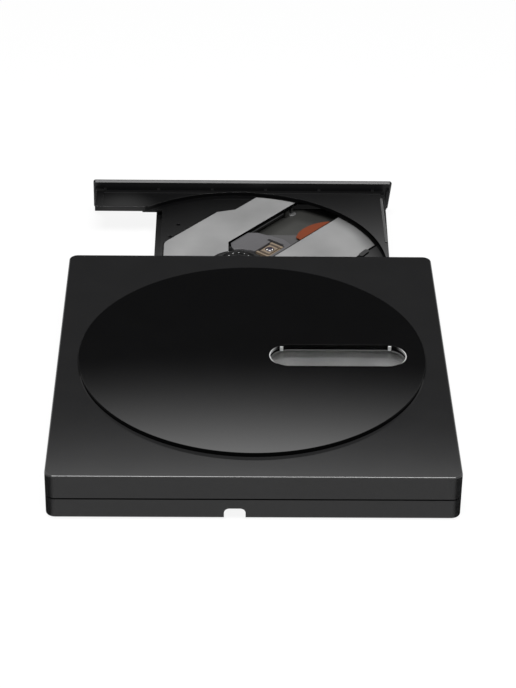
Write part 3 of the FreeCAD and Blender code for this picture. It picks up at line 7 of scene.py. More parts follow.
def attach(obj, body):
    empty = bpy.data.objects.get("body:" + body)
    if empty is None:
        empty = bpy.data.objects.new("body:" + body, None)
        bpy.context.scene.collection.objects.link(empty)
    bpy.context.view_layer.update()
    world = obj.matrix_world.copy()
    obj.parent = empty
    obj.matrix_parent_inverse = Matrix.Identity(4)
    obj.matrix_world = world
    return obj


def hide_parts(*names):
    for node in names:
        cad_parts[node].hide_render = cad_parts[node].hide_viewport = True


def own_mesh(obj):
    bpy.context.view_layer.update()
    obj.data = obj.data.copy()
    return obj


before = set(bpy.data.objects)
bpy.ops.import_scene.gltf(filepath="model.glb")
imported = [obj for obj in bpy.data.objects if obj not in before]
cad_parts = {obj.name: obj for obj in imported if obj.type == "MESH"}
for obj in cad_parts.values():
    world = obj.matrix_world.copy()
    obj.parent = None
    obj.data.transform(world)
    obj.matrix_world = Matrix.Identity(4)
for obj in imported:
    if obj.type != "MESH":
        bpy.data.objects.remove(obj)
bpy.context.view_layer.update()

bpy.ops.object.select_all(action="DESELECT")


# Camera
# It looks along the way the tray slides, from above and behind the case, where
# the cable notch is. A long lens keeps the far edge nearly as wide as the near one.

yawed, tipped, rolled = math.radians(1.098), math.radians(31.93), math.radians(0.885)
ahead = Vector((math.sin(yawed) * math.cos(tipped), math.cos(yawed) * math.cos(tipped), -math.sin(tipped)))
level = Vector((math.cos(yawed), -math.sin(yawed), 0.0))
upward = level.cross(ahead)
across = level * math.cos(rolled) + upward * math.sin(rolled)
upright = upward * math.cos(rolled) - level * math.sin(rolled)

bpy.ops.object.camera_add(location=(-0.01179, -0.72942, 0.47932))
camera = bpy.context.object
camera.name = "camera"
facing = Matrix((across, upright, -ahead)).transposed().to_4x4()
camera.matrix_world = Matrix.Translation(camera.location) @ facing
camera.data.sensor_fit = "VERTICAL"
camera.data.sensor_height = 24.0
camera.data.lens = 79.5
camera.data.clip_start = 0.05
bpy.context.scene.camera = camera
bpy.context.scene.view_settings.view_transform = "Standard"


# Table, room and lamp
# A wide white table under a soft lamp, in a bright room. To the eye and in glossy
# pieces both are plain white, but for the tenth of the table that keeps the shadow.

def filled(tree, kind, operation, given):
    """A node of one of the two maths kinds, fed with numbers and with other nodes' outputs."""
    made = tree.nodes.new(kind)
    made.operation = operation
    for socket, value in zip(made.inputs, given):
        if isinstance(value, bpy.types.NodeSocket):
            tree.links.new(value, socket)
        else:
            socket.default_value = value
    return made


def math_node(tree, operation, *given):
    """The number that a Math node works out."""
    return filled(tree, "ShaderNodeMath", operation, given).outputs["Value"]


def seen_directly(tree):
    """One where a ray comes from the camera, a gloss or a clear piece, else nought."""
    path = tree.nodes.new("ShaderNodeLightPath")
    either = math_node(tree, "MAXIMUM", path.outputs["Is Camera Ray"], path.outputs["Is Glossy Ray"])
    return math_node(tree, "MAXIMUM", either, path.outputs["Is Transmission Ray"])


def mixed(tree, factor, first, second):
    """Two shaders mixed by a factor: nought is the first."""
    blend = tree.nodes.new("ShaderNodeMixShader")
    for socket, source in zip(blend.inputs, (factor, first, second)):
        tree.links.new(source, socket)
    return blend.outputs[0]


table_wide = 12.0
table_matt = 0.58
shown_share = 0.9
bpy.ops.mesh.primitive_plane_add(size=table_wide, location=(0.0, 0.0, 0.0))
table = bpy.context.object
table.name = "table"
table_white = bpy.data.materials.new("table_white")
table_white.use_nodes = True
tree = table_white.node_tree
matt = tree.nodes["Principled BSDF"]
matt.inputs["Base Color"].default_value = (table_matt, table_matt, table_matt, 1.0)
matt.inputs["Roughness"].default_value = 1.0
matt.inputs["Specular IOR Level"].default_value = 0.0
glow = tree.nodes.new("ShaderNodeEmission")
glow.inputs["Strength"].default_value = 1.0
share = math_node(tree, "MULTIPLY", seen_directly(tree), shown_share)
surface = mixed(tree, share, matt.outputs[0], glow.outputs[0])
tree.links.new(surface, tree.nodes["Material Output"].inputs["Surface"])
table.data.materials.append(table_white)

room_light = 0.3
room = bpy.data.worlds.new("room")
bpy.context.scene.world = room
room.use_nodes = True
tree = room.node_tree
plain = tree.nodes["Background"]
plain.inputs["Color"].default_value = (1.0, 1.0, 1.0, 1.0)
plain.inputs["Strength"].default_value = room_light
shown = tree.nodes.new("ShaderNodeBackground")
shown.inputs["Color"].default_value = (1.0, 1.0, 1.0, 1.0)
shown.inputs["Strength"].default_value = 1.0
surface = mixed(tree, seen_directly(tree), plain.outputs[0], shown.outputs[0])
tree.links.new(surface, tree.nodes["World Output"].inputs["Surface"])

bpy.ops.object.light_add(type="AREA", location=(0.0, -0.30, 1.0))
lamp = bpy.context.object
lamp.name = "lamp_above"
lamp.data.shape = "RECTANGLE"
lamp.data.size = 0.8
lamp.data.size_y = 0.5
lamp.data.energy = 28.0


# Grey cards
# Two cards on the table by the near corners, seen in glossy pieces alone. They draw
# the dark upright bands at the corners of the case: each is white in front of its
# corner, turns dark round it, and is white again at its rim.

def vector_node(tree, operation, *given):
    """The vector that a Vector Math node works out, or the number for a distance or length."""
    made = filled(tree, "ShaderNodeVectorMath", operation, given)
    return made.outputs["Value" if operation in ("DISTANCE", "LENGTH") else "Vector"]


def graded(tree, value, low, high, start=0.0, end=1.0, smooth=False, clamp=True):
    """A number that goes from start to end as the value goes from low to high."""
    made = tree.nodes.new("ShaderNodeMapRange")
    made.interpolation_type = "SMOOTHSTEP" if smooth else "LINEAR"
    made.clamp = clamp
    for name, number in (("From Min", low), ("From Max", high), ("To Min", start), ("To Max", end)):
        made.inputs[name].default_value = number
    tree.links.new(value, made.inputs["Value"])
    return made.outputs["Result"]


def split_up(tree, vector):
    """The X, Y and Z of a vector."""
    made = tree.nodes.new("ShaderNodeSeparateXYZ")
    tree.links.new(vector, made.inputs[0])
    return made.outputs


def shining(name):
    """A material that only shines, and the place on it that its strength is worked out from."""
    made = bpy.data.materials.new(name)
    made.use_nodes = True
    tree = made.node_tree
    tree.nodes.remove(tree.nodes["Principled BSDF"])
    glow = tree.nodes.new("ShaderNodeEmission")
    tree.links.new(glow.outputs[0], tree.nodes["Material Output"].inputs["Surface"])
    return made, tree.nodes.new("ShaderNodeTexCoord").outputs["Object"], glow.inputs["Strength"]


def only_in_gloss(piece, material):
    """Let a piece show in glossy pieces alone, and give it its material."""
    for kind in ("camera", "diffuse", "transmission", "volume_scatter", "shadow"):
        setattr(piece, "visible_" + kind, False)
    piece.data.materials.append(material)


card_side, card_lift = 0.07, 0.0001
card_x, card_y = 0.1064, -0.085
corner_x, corner_y = 0.0712, 0.0760
card_white, card_dark = 0.96, 0.04
turn_from, turn_to = 0.10, 1.00
rim_from, rim_to = 0.024, 0.034
card_grey, where, strength = shining("card_grey")
tree = card_grey.node_tree
on_either_side = vector_node(tree, "ABSOLUTE", where)
from_corner = vector_node(tree, "SUBTRACT", on_either_side, (corner_x, corner_y, 0.0))
along = split_up(tree, from_corner)
round_by = math_node(tree, "ARCTAN2", along["X"], along["Y"])
darker = graded(tree, round_by, turn_from, turn_to, card_white, card_dark, smooth=True)
out_by = vector_node(tree, "LENGTH", from_corner)
white_rim = graded(tree, out_by, rim_from, rim_to, 0.0, card_white, smooth=True)
tree.links.new(math_node(tree, "MAXIMUM", darker, white_rim), strength)
for name, x in (("card_left", -card_x), ("card_right", card_x)):
    bpy.ops.mesh.primitive_plane_add(size=card_side, location=(x, card_y, card_lift))
    card = bpy.context.object
    card.name = name
    bpy.ops.object.transform_apply(location=True)
    only_in_gloss(card, card_grey)


# Graded screen
# A curved screen behind the set, dark low down and bright above. It only shows in
# glossy pieces, which is where the dark far half of the round plate comes from.

screen_r, screen_h, screen_from = 1.6, 1.9, 1.5
ramp_low, ramp_tall, ramp_least = 1.01, 0.14, 0.15
ramp_power, ramp_glow, ramp_most = 2.32, 1.28, 1.8
bpy.ops.mesh.primitive_cylinder_add(vertices=96, radius=screen_r, depth=screen_h, end_fill_type="NOTHING",
                                    location=(0.0, 0.0, screen_h / 2))
screen = bpy.context.object
screen.name = "screen"
bpy.ops.object.mode_set(mode="EDIT")
bpy.ops.mesh.select_all(action="SELECT")
bpy.ops.mesh.bisect(plane_co=(0.0, screen_from, 0.0), plane_no=(0.0, 1.0, 0.0), clear_inner=True)
bpy.ops.object.mode_set(mode="OBJECT")
bpy.ops.object.transform_apply(location=True)
screen_graded, where, strength = shining("screen_graded")
tree = screen_graded.node_tree
rise = graded(tree, split_up(tree, where)["Z"], ramp_low, ramp_low + ramp_tall, clamp=False)
curve = math_node(tree, "POWER", math_node(tree, "MAXIMUM", rise, ramp_least), ramp_power)
scaled = math_node(tree, "MULTIPLY", curve, ramp_glow)
tree.links.new(math_node(tree, "MINIMUM", scaled, ramp_most), strength)
only_in_gloss(screen, screen_graded)


# Upper case
# A shallow shell of black ABS, moulded with a very fine even grain. Its top is
# crowned by a hair, and it meets the lower half in a dark joint line half way up.

def finish(name, colour, rough, metal=0.0, grain=0.0003, depth=0.02, wear=0.06, ior=1.5, edge=0.0,
           lean=0.0, twist=0.0, side=None):
    """A surface with a fine grain in its shape, slow changes of tone and gloss, and broken edges.

    Lean and twist tip its shading, as on a part that is crowned or warped by a hair,
    and side is the gloss of its upright walls.
    """
    tone = 0.12
    flat_gloss, upright_below = 0.5, 0.15
    made = bpy.data.materials.new(name)
    made.use_nodes = True
    tree = made.node_tree
    shader = tree.nodes["Principled BSDF"]
    shader.inputs["Metallic"].default_value = metal
    shader.inputs["IOR"].default_value = ior
    where = tree.nodes.new("ShaderNodeTexCoord").outputs["Object"]
    slow = tree.nodes.new("ShaderNodeTexNoise")
    slow.inputs["Scale"].default_value = 60.0
    slow.inputs["Detail"].default_value = 3.0
    tree.links.new(where, slow.inputs["Vector"])
    shade = tree.nodes.new("ShaderNodeMix")
    shade.data_type = "RGBA"
    shade.inputs["A"].default_value = (*[c * (1.0 - tone) for c in colour], 1.0)
    shade.inputs["B"].default_value = (*[c * (1.0 + tone) for c in colour], 1.0)
    tree.links.new(slow.outputs["Fac"], shade.inputs["Factor"])
    tree.links.new(shade.outputs["Result"], shader.inputs["Base Color"])
    gloss = graded(tree, slow.outputs["Fac"], 0.0, 1.0, max(rough - wear, 0.0), rough + wear)
    tree.links.new(gloss, shader.inputs["Roughness"])
    fine = tree.nodes.new("ShaderNodeTexNoise")
    fine.inputs["Scale"].default_value = 1.0 / grain
    tree.links.new(where, fine.inputs["Vector"])
    bump = tree.nodes.new("ShaderNodeBump")
    bump.inputs["Strength"].default_value = depth
    bump.inputs["Distance"].default_value = 0.0001
    tree.links.new(fine.outputs["Fac"], bump.inputs["Height"])
    tree.links.new(bump.outputs["Normal"], shader.inputs["Normal"])
    if edge:
        broken = tree.nodes.new("ShaderNodeBevel")
        broken.inputs["Radius"].default_value = edge
        tree.links.new(broken.outputs["Normal"], bump.inputs["Normal"])
    if side is not None:
        facing = tree.nodes.new("ShaderNodeNewGeometry").outputs["True Normal"]
        flatness = math_node(tree, "ABSOLUTE", split_up(tree, facing)["Z"])
        shine = graded(tree, flatness, 0.0, upright_below, side, flat_gloss)
        tree.links.new(shine, shader.inputs["Specular IOR Level"])
    if lean:
        normal = bump.outputs["Normal"]
        if twist:
            warp = vector_node(tree, "CROSS_PRODUCT", where, (0.0, 0.0, twist))
            normal = vector_node(tree, "ADD", normal, warp)
        crown = vector_node(tree, "ADD", normal, (0.0, lean, 0.0))
        tree.links.new(vector_node(tree, "NORMALIZE", crown), shader.inputs["Normal"])
    return made


def dress(material, *names):
    """Give CAD nodes their material."""
    for name in names:
        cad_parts[name].material_slots[0].material = material


case_black = finish("case_black", (0.0082, 0.0082, 0.0084), 0.07, grain=0.00025, depth=0.01, wear=0.01,
                    ior=1.45, lean=0.0150, side=0.36)
dress(case_black, "top_cover")


# Lower case
# The other shell, of the same black ABS, with the cable notch in its rear wall. It
# rests on four rubber feet, so the two stubs that the skin of the notch leaves
# below the underside are cut away.

def settle(piece, body, slot, material, *nodes):
    """Give a finished piece its material and normals, and hang it on what carries it; the slot is not
    used.
    """
    bpy.ops.object.select_all(action="DESELECT")
    piece.select_set(True)
    bpy.context.view_layer.objects.active = piece
    bpy.ops.object.transform_apply(location=True, rotation=True, scale=True)
    bpy.ops.object.mode_set(mode="EDIT")
    bpy.ops.mesh.select_all(action="SELECT")
    bpy.ops.mesh.remove_doubles(threshold=0.000002)
    bpy.ops.mesh.normals_make_consistent(inside=False)
    bpy.ops.object.mode_set(mode="OBJECT")
    bpy.ops.object.shade_smooth_by_angle(angle=math.radians(32))
    even = piece.modifiers.new("even", "WEIGHTED_NORMAL")
    even.keep_sharp = True
    even.weight = 100
    bpy.ops.object.modifier_apply(modifier=even.name)
    piece.data.materials.clear()
    piece.data.materials.append(material)
    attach(piece, body)
    if nodes:
        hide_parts(*nodes)
    piece.select_set(False)


def from_solid(node, name):
    """A copy of a CAD node's surface, merged and with its flat faces whole, to be worked on."""
    piece = bpy.data.objects.new(name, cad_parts[node].data.copy())
    bpy.context.scene.collection.objects.link(piece)
    bpy.ops.object.select_all(action="DESELECT")
    piece.select_set(True)
    bpy.context.view_layer.objects.active = piece
    bpy.ops.object.mode_set(mode="EDIT")
    bpy.ops.mesh.select_all(action="SELECT")
    bpy.ops.mesh.remove_doubles(threshold=0.000004)
    bpy.ops.mesh.dissolve_limited(angle_limit=math.radians(0.6))
    bpy.ops.mesh.normals_make_consistent(inside=False)
    bpy.ops.object.mode_set(mode="OBJECT")
    return piece


def block(name, place, size):
    """A block about its middle."""
    bpy.ops.mesh.primitive_cube_add(size=1.0, location=place)
    piece = bpy.context.object
    piece.name = name
    piece.scale = size
    bpy.ops.object.transform_apply(location=True, scale=True)
    return piece


def cut_out(piece, tool):
    """Take the tool's shape out of the piece, and drop the tool."""
    cut = piece.modifiers.new("cut", "BOOLEAN")
    cut.operation = "DIFFERENCE"
    cut.solver = "EXACT"
    cut.object = tool
    bpy.context.view_layer.objects.active = piece
    bpy.ops.object.modifier_apply(modifier=cut.name)
    bpy.data.objects.remove(tool)


stub_places, stub_y, stub_z = (-0.01103, -0.00217), -0.07405, -0.00021
stub_size = (0.0014, 0.0066, 0.0020)
shell = from_solid("bottom_cover", "lower_shell")
for stub_x in stub_places:
    cut_out(shell, block("stub_tool", (stub_x, stub_y, stub_z), stub_size))
settle(shell, "housing", "case_lower", case_black, "bottom_cover")


# Round plate
# A polished black disc of acrylic let into the cover and standing proud of it,
# with a long window whose clear film lets the drive module's steel lid show.

def turned(name, x, y, rings, sides):
    """A piece turned about an upright axis: a ring is drawn out and scaled from height to height."""
    (radius, z), rest = rings[0], rings[1:]
    bpy.ops.object.select_all(action="DESELECT")
    bpy.ops.mesh.primitive_circle_add(vertices=sides, radius=radius, location=(x, y, z))
    piece = bpy.context.object
    piece.name = name
    bpy.ops.object.mode_set(mode="EDIT")
    bpy.ops.mesh.select_all(action="SELECT")
    for wide, high in rest:
        bpy.ops.mesh.extrude_region_move(TRANSFORM_OT_translate={"value": (0.0, 0.0, high - z)})
        bpy.ops.transform.resize(value=(wide / radius, wide / radius, 1.0), center_override=(x, y, high))
        radius, z = wide, high
    bpy.ops.mesh.select_non_manifold()
    bpy.ops.mesh.fill_holes(sides=0)
    bpy.ops.object.mode_set(mode="OBJECT")
    return piece


def stadium(name, x, y, length, width, low, high, sides=24):
    """A solid with round ends: half of a disc is drawn away from the other half, then raised."""
    bpy.ops.object.select_all(action="DESELECT")
    bpy.ops.mesh.primitive_circle_add(vertices=sides, radius=width / 2, fill_type="NGON",
                                      location=(x, y, low), rotation=(0.0, 0.0, math.pi / sides))
    piece = bpy.context.object
    piece.name = name
    bpy.ops.object.transform_apply(location=False, rotation=True)
    for end in (1, -1):
        bpy.ops.object.mode_set(mode="EDIT")
        bpy.ops.mesh.select_all(action="DESELECT")
        bpy.ops.object.mode_set(mode="OBJECT")
        for vertex in piece.data.vertices:
            vertex.select = vertex.co.x * end > 0.0
        bpy.ops.object.mode_set(mode="EDIT")
        bpy.ops.transform.translate(value=(end * (length - width) / 2, 0.0, 0.0))
    bpy.ops.mesh.select_all(action="SELECT")
    bpy.ops.mesh.extrude_region_move(TRANSFORM_OT_translate={"value": (0.0, 0.0, high - low)})
    bpy.ops.mesh.select_all(action="SELECT")
    bpy.ops.mesh.normals_make_consistent(inside=False)
    bpy.ops.object.mode_set(mode="OBJECT")
    bpy.ops.object.transform_apply(location=True)
    return piece


def break_edges(piece, width, segments=2):
    """Bevel the sharp edges of a piece."""
    bevel = piece.modifiers.new("edges", "BEVEL")
    bevel.width = width
    bevel.segments = segments
    bevel.limit_method = "ANGLE"
    bevel.angle_limit = math.radians(35)
    bevel.use_clamp_overlap = True
    bpy.context.view_layer.objects.active = piece
    bpy.ops.object.modifier_apply(modifier=bevel.name)


plate_low, plate_top, plate_r, hidden_r = 0.0180, 0.0201, 0.0655, 0.0645
plate_rings = [(hidden_r, plate_low), (plate_r, plate_low), (plate_r, plate_top)]
window_x, window_y, window_sides = 0.0325, -0.0006, 96
window_long, window_wide = 0.0521, 0.0156
tool_low, tool_high = 0.0170, 0.0210
plate_polish = finish("plate_polish", (0.0018, 0.0018, 0.0019), 0.04, depth=0.0, wear=0.01, ior=1.57,
                      side=0.05)
plate = turned("round_plate", 0.0, 0.0, plate_rings, 256)
cut_out(plate, stadium("window_tool", window_x, window_y, window_long, window_wide, tool_low, tool_high,
                       window_sides))
break_edges(plate, 0.00003)
settle(plate, "housing", "plate_gloss", plate_polish, "top_disc")


# Window
# A clear film lies in the bottom of the plate's window, in a grey moulded rim. A
# thin clear insert lines the wall above it. It is painted pale at both ends, a
# painted highlight, and two pale blocks on the wall are painted highlights too.

film_clear = finish("film_clear", (0.82, 0.82, 0.82), 0.03, depth=0.0, wear=0.01, ior=1.49)
film_clear.node_tree.nodes["Principled BSDF"].inputs["Transmission Weight"].default_value = 1.0
dress(film_clear, "window_film")


def lining(name, wall, low, high):
    """A thin band that lines the window's wall between two heights."""
    long, wide = 0.0519, 0.0154
    band = stadium(name, window_x, window_y, long, wide, low, high, window_sides)
    cut_out(band, stadium(name + "_tool", window_x, window_y, long - 2 * wall, wide - 2 * wall,
                          tool_low, tool_high, window_sides))
    return band


rim_wall, rim_low, rim_top = 0.0006, 0.01751, 0.0179
rim_grey = finish("rim_grey", (0.05, 0.05, 0.05), 0.35, ior=1.3)
rim = lining("window_rim", rim_wall, rim_low, rim_top)
break_edges(rim, 0.00012)
settle(rim, "housing", "plate_gloss", rim_grey)


def tinted(material, factor, colour):
    """Turn a finish's colour toward another one, by a factor that is worked out on the piece."""
    tree = material.node_tree
    base = tree.nodes["Principled BSDF"].inputs["Base Color"]
    blend = tree.nodes.new("ShaderNodeMix")
    blend.data_type = "RGBA"
    tree.links.new(factor, blend.inputs["Factor"])
    tree.links.new(base.links[0].from_socket, blend.inputs["A"])
    blend.inputs["B"].default_value = (*colour, 1.0)
    tree.links.new(blend.outputs["Result"], base)


# The insert is painted pale grey toward both ends: a painted highlight of the light that its curved ends
# catch.
insert_wall, insert_low = 0.0003, 0.0192
glint_from, glint_to = 0.0225, 0.0258
edge_clear = finish("edge_clear", (0.002, 0.002, 0.002), 0.12, ior=1.12)
tree = edge_clear.node_tree
where = tree.nodes["Texture Coordinate"].outputs["Object"]
from_window = math_node(tree, "SUBTRACT", split_up(tree, where)["X"], window_x)
painted_end_glint = graded(tree, math_node(tree, "ABSOLUTE", from_window), glint_from, glint_to, smooth=True)
tinted(edge_clear, painted_end_glint, (0.33, 0.33, 0.33))
insert = lining("window_insert", insert_wall, insert_low, plate_top)
settle(insert, "housing", "plate_gloss", edge_clear)

# Two pale grey blocks on the far wall of the window are painted highlights of the light that the wall
# catches there.
glint_block_size, glint_block_z = (0.0013, 0.0005, 0.0020), 0.0190
glint_block_places = ((0.0113, 0.0058), (0.0525, 0.0064))
painted_glint_grey = finish("painted_glint_grey", (0.30, 0.30, 0.30), 0.3)
for number, (x, y) in enumerate(glint_block_places):
    glint_block = block("window_glint_block_" + str(number + 1), (x, y, glint_block_z), glint_block_size)
    break_edges(glint_block, 0.0002, 3)
    settle(glint_block, "housing", "plate_gloss", painted_glint_grey)


# Feet, gland and screws
# Rubber pads glued in their recesses, a rubber sleeve for the lead, and steel
# screws up through the lower case into posts of the upper one.

rubber = finish("rubber", (0.018, 0.018, 0.019), 0.75, grain=0.0005, depth=0.15)
dress(rubber, "rubber_feet", "cable_gland")
screw_black = finish("screw_black", (0.05, 0.05, 0.055), 0.35, metal=1.0)
dress(screw_black, "case_screws", "traverse_screws", "bracket_screws")


# Boards
# A small circuit board behind the drive with its chips and the plug that enters the
# drive's socket, and the drive's own boards. All are green glass fibre laminate.

board_green = finish("board_green", (0.012, 0.09, 0.035), 0.35, grain=0.0008, depth=0.08)
dress(board_green, "bridge_board", "main_board", "button_board")
dress(finish("chip_epoxy", (0.02, 0.02, 0.022), 0.55), "bridge_chips", "main_chips")
dress(finish("connector_black", (0.015, 0.015, 0.016), 0.45), "sata_plug", "drive_socket")


# Drive module
# A pan and lid of thin zinc-coated steel, with moulded guides riveted inside,
# and folded steel rails that the tray runs on. The lid shows under the window.

steel_coated = finish("steel_coated", (0.50, 0.50, 0.49), 0.32, metal=1.0, grain=0.0006, depth=0.04)
dress(steel_coated, "drive_pan", "rear_bracket", "lock_post")
dress(finish("lid_dull", (0.20, 0.20, 0.20), 0.45, metal=0.8, grain=0.0006, depth=0.04), "drive_lid")
dress(finish("guide_black", (0.02, 0.02, 0.02), 0.45), "guide_right", "guide_left")
dress(finish("rail_steel", (0.60, 0.60, 0.60), 0.28, metal=1.0), "rail_right", "rail_left")


# Tray
# Black ABS moulding with a round well, its edges a little broken so that they
# catch the light. Its gloss is turned down near the well's wall, a painted shade,
# and its colour is made paler at the wing, a painted sheen. A thin grey strip along
# its right side is a painted highlight of that edge.

def lay(piece, degrees, x, y):
    """Turn a piece that was made over the origin, and put it in its place."""
    piece.rotation_euler[2] = math.radians(degrees)
    piece.location = (x, y, 0.0)
    bpy.ops.object.transform_apply(location=True, rotation=True)


well_x, well_y, well_floor = -0.0047, 0.0813, 0.0116
well_r, shade_from, shade_to, shade_least = 0.06102, 0.0500, 0.0608, 0.10
sheen_middle, painted_sheen_from, painted_sheen_to = (-0.0540, 0.1265, 0.0118), 0.018, 0.004
tray_black = finish("tray_black", (0.0020, 0.0020, 0.0021), 0.07, grain=0.0003, depth=0.01, wear=0.01,
                    ior=1.43, edge=0.00018, lean=-0.060, twist=0.14, side=0.12)
tree = tray_black.node_tree
where = tree.nodes["Texture Coordinate"].outputs["Object"]
# The tray's colour is painted paler round the middle of the wing: a painted sheen in place of the
# reflection the real tray shows there.
painted_wing_sheen = graded(tree, vector_node(tree, "DISTANCE", where, sheen_middle), painted_sheen_from, painted_sheen_to, smooth=True)
tinted(tray_black, painted_wing_sheen, (0.016, 0.016, 0.016))
# Inside the well the tray's gloss is turned down toward the wall, to a tenth at it: painted shade and a
# painted reflection of the dark wall.
from_middle = vector_node(tree, "DISTANCE", where, (well_x, well_y, well_floor))
painted_wall_shade = graded(tree, from_middle, shade_from, shade_to, 1.0, shade_least)
outside = math_node(tree, "GREATER_THAN", from_middle, well_r)
shine = tree.nodes["Principled BSDF"].inputs["Specular IOR Level"]
shaded_gloss = math_node(tree, "MAXIMUM", painted_wall_shade, outside)
tree.links.new(math_node(tree, "MULTIPLY", shine.links[0].from_socket, shaded_gloss), shine)
dress(tray_black, "tray")

# A thin grey strip on the tray's right edge is a painted highlight of the light that this rounded edge
# catches.
strip_long, strip_wide, strip_low, strip_top = 0.038, 0.0010, 0.0133, 0.0137
strip_x, strip_y = 0.05692, 0.1180
highlight_grey = finish("highlight_grey", (0.045, 0.045, 0.045), 0.22)
edge_highlight = stadium("tray_edge_highlight", 0.0, 0.0, strip_long, strip_wide, strip_low, strip_top)
lay(edge_highlight, 90, strip_x, strip_y)
break_edges(edge_highlight, 0.0002, 3)
settle(edge_highlight, "tray", "tray_plastic", highlight_grey)


# Bezel
# The separate front panel of black ABS, fixed across the front of the tray, with
# its button and the clear window of the lamp.

bezel_black = finish("bezel_black", (0.003, 0.003, 0.0032), 0.34, grain=0.00025, depth=0.04, wear=0.03,
                     ior=1.29)
dress(bezel_black, "tray_bezel", "eject_button")
dress(finish("lamp_clear", (0.6, 0.6, 0.6), 0.1), "led_window")


# Latch, plunger and spring
# The solenoid under the tray lets the lever go, and a sprung plunger then pushes
# the tray out by a few millimetres.

dress(finish("latch_white", (0.5, 0.5, 0.48), 0.4), "latch_lever", "eject_plunger")
coil_brown = finish("coil_brown", (0.20, 0.07, 0.03), 0.4, metal=0.4)
dress(coil_brown, "latch_solenoid", "sled_motor", "spindle_motor")
spring_steel = finish("spring_steel", (0.5, 0.5, 0.5), 0.25, metal=1.0)
spring = from_solid("eject_spring", "eject_coil")
settle(spring, "tray", "rail_steel", spring_steel, "eject_spring")
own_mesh(spring)


# Bright sheet
# Satin steel sheet set into the well, with a slanted slot for the reader. It is
# painted darker toward the well's wall on the right, a painted shade, and lies on a
# thin matt black band that is the painted shadow of the gap round its edge.

sheet_top = 0.0120
# The sheet's colour is painted darker toward the well's wall on its right side: painted shade where the
# wall shades it.
border_from, border_to, border_most = 0.0525, 0.0605, 0.66
right_from, right_to = 0.026, 0.036
sheet_bright = finish("sheet_bright", (0.43, 0.43, 0.43), 0.40, metal=1.0, grain=0.0004, depth=0.06,
                      edge=0.0001)
tree = sheet_bright.node_tree
where = tree.nodes["Texture Coordinate"].outputs["Object"]
from_middle = vector_node(tree, "DISTANCE", where, (well_x, well_y, sheet_top))
painted_border_shade = graded(tree, from_middle, border_from, border_to, 0.0, border_most, smooth=True)
on_right = graded(tree, split_up(tree, where)["X"], right_from, right_to)
tinted(sheet_bright, math_node(tree, "MULTIPLY", painted_border_shade, on_right), (0.03, 0.03, 0.03))
dress(sheet_bright, "deck_plate")

# A thin matt black copy of the sheet, a little wider, lies under it: a painted shadow of the gap round the
# sheet's edge.
shadow_out, shadow_thin, shadow_z = 0.00045, 0.24, 0.01179
painted_shadow_black = finish("painted_shadow_black", (0.001, 0.001, 0.001), 0.9, ior=1.05)
painted_gap_shadow = from_solid("deck_plate", "sheet_painted_shadow")
bpy.ops.object.mode_set(mode="EDIT")
bpy.ops.mesh.select_all(action="SELECT")
bpy.ops.transform.shrink_fatten(value=shadow_out, use_even_offset=True)
bpy.ops.transform.resize(value=(1.0, 1.0, shadow_thin), center_override=(0.0, 0.0, shadow_z))
bpy.ops.object.mode_set(mode="OBJECT")
settle(painted_gap_shadow, "tray", "tray_plastic", painted_shadow_black)


# Reader's frame
# A folded steel frame hung on rubber dampers under the sheet, with the two rods
# and the screw that carry and drive the sled, and an adjuster at the far end.

dress(finish("frame_steel", (0.038, 0.038, 0.0355), 0.45, metal=0.6), "traverse_frame")
dress(finish("damper_grey", (0.05, 0.05, 0.05), 0.8), "dampers")
# The rods and the lead screw are coloured far darker than bare steel: painted shade, for the shadow they
# lie in under the sheet.
dress(finish("rod_shaded", (0.05, 0.05, 0.05), 0.3, metal=1.0), "rod_main", "rod_side", "lead_screw")

adjuster_x, stem_y, washer_y = 0.018356, 0.135683, 0.135183
stem_rings = [(0.0006, 0.0062), (0.0010, 0.0062), (0.0010, 0.0069), (0.0007, 0.0071), (0.0007, 0.0100),
              (0.0010, 0.0102), (0.0010, 0.0108), (0.0007, 0.0110)]
post_dark = finish("post_dark", (0.03, 0.03, 0.03), 0.4, metal=0.5)
stem = turned("adjuster_stem", adjuster_x, stem_y, stem_rings, 24)
settle(stem, "tray", "rail_steel", post_dark, "adjuster_post")
washer_rings = [(0.0012, 0.0066), (0.0019, 0.0066), (0.0020, 0.0068), (0.0019, 0.0070), (0.0011, 0.00705)]
washer_light = finish("washer_light", (0.19, 0.19, 0.19), 0.35, metal=0.7)
washer = turned("adjuster_washer", adjuster_x, washer_y, washer_rings, 40)
settle(washer, "tray", "rail_steel", washer_light)


# Hub
# Black turntable with a rubber ring that grips the disc, three sprung claws, and a
# ring of small bright studs round its middle.

hub_black = finish("hub_black", (0.0022, 0.0022, 0.0023), 0.28, ior=1.33)
dress(hub_black, "turntable", "hub_claw_1", "hub_claw_2", "hub_claw_3")
dress(finish("ring_rubber", (0.004, 0.004, 0.004), 0.8, ior=1.3), "turntable_ring")

stud_count, stud_circle = 12, 0.0046
stud_rings = [(0.00030, 0.0151), (0.00028, 0.0153), (0.00022, 0.01544), (0.00012, 0.01552)]
stud_bright = finish("stud_bright", (0.22, 0.22, 0.22), 0.15, metal=1.0)
for number in range(stud_count):
    turn = math.radians(360 / stud_count * number)
    x, y = well_x + stud_circle * math.cos(turn), well_y + stud_circle * math.sin(turn)
    stud = turned("hub_stud_" + str(number + 1), x, y, stud_rings, 12)
    settle(stud, "turntable", "turntable_black", stud_bright)


# Reader
# A die-cast sled under a pressed cover, with the coated lens in its brown resin
# holder between two focus coils.

dress(finish("sled_dark", (0.045, 0.044, 0.045), 0.5, metal=0.3, edge=0.0002), "sled_base")
dress(finish("cover_grey", (0.084, 0.082, 0.086), 0.38, metal=0.5, edge=0.00015), "sled_cover")
dress(finish("holder_brown", (0.115, 0.088, 0.062), 0.35, edge=0.00015), "lens_holder")

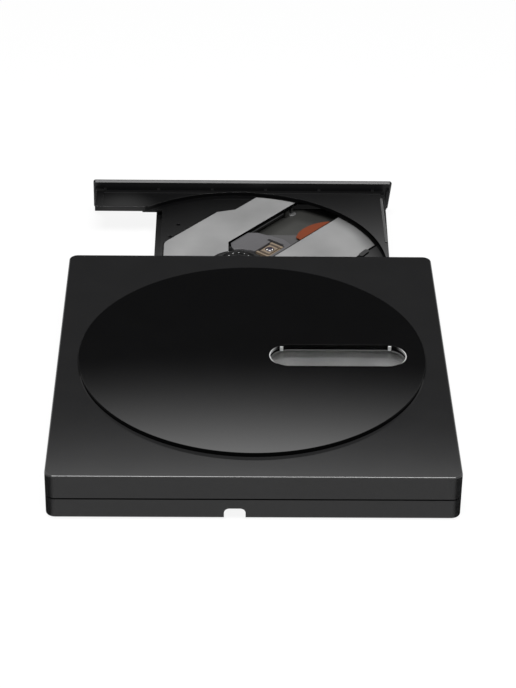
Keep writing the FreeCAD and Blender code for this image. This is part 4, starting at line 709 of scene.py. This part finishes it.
lens_x, lens_y = 0.008293, 0.096378
lens_rings = [(0.0019, 0.0105), (0.0019, 0.0111), (0.0016, 0.01112), (0.00155, 0.0112), (0.0013, 0.01138),
              (0.0009, 0.01150), (0.0004, 0.01153)]
lens_coated = finish("lens_coated", (0.012, 0.010, 0.020), 0.04, depth=0.0, wear=0.01, ior=1.7)
lens = turned("lens_dome", lens_x, lens_y, lens_rings, 48)
settle(lens, "lens", "lens_glass", lens_coated, "lens")

# Two small pale domes beside the lens are painted highlights: the two glints that its rim shows.
glint_y, glint_places = 0.09567, (0.00716, 0.00945)
glint_rings = [(0.00032, 0.0111), (0.00032, 0.01147), (0.0002, 0.01153)]
glint_white = finish("glint_white", (0.5, 0.48, 0.42), 0.2)
for number, x in enumerate(glint_places):
    glint_dome = turned("lens_glint_" + str(number + 1), x, glint_y, glint_rings, 16)
    settle(glint_dome, "lens", "holder_resin", glint_white)

slot_turn, slot_x, slot_y = 50.4, 0.637424, 0.770513
coil_long, coil_wide, coil_low, coil_top = 0.0046, 0.0009, 0.0111, 0.01135
coil_aside, coil_places = 0.0004, (0.0161, 0.0233)
coil_dark = finish("coil_dark", (0.022, 0.014, 0.008), 0.45)
for number, along_slot in enumerate(coil_places):
    coil = stadium("focus_coil_" + str(number + 1), 0.0, 0.0, coil_long, coil_wide, coil_low, coil_top)
    x = well_x + along_slot * slot_x + coil_aside * slot_y
    y = well_y + along_slot * slot_y - coil_aside * slot_x
    lay(coil, 90 + slot_turn, x, y)
    break_edges(coil, 0.00012)
    settle(coil, "lens", "holder_resin", coil_dark)


# Ribbon and painted notch shade
# The orange ribbon of printed film that feeds the reader, folded at the slot's
# edge, and a matt black block at the sheet's edge, a painted shade of the gap there.

ribbon_orange = finish("ribbon_orange", (0.085, 0.016, 0.0035), 0.5, ior=1.3)
ribbon = from_solid("pickup_flex", "reader_ribbon")
settle(ribbon, "tray", "flex_orange", ribbon_orange, "pickup_flex")
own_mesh(ribbon)

# A matt black block at the sheet's edge, where a dark notch shows: painted shade of the gap there.
notch_long, notch_wide, notch_top = 0.0062, 0.0022, 0.01225
notch_turn, notch_x, notch_y = 55.5, 0.0473, 0.0922
notch_shade_black = finish("notch_shade_black", (0.004, 0.004, 0.004), 0.5)
painted_notch_shade = stadium("painted_notch_shade", 0.0, 0.0, notch_long, notch_wide, sheet_top, notch_top)
lay(painted_notch_shade, notch_turn, notch_x, notch_y)
break_edges(painted_notch_shade, 0.0001)
settle(painted_notch_shade, "tray", "tray_plastic", notch_shade_black)
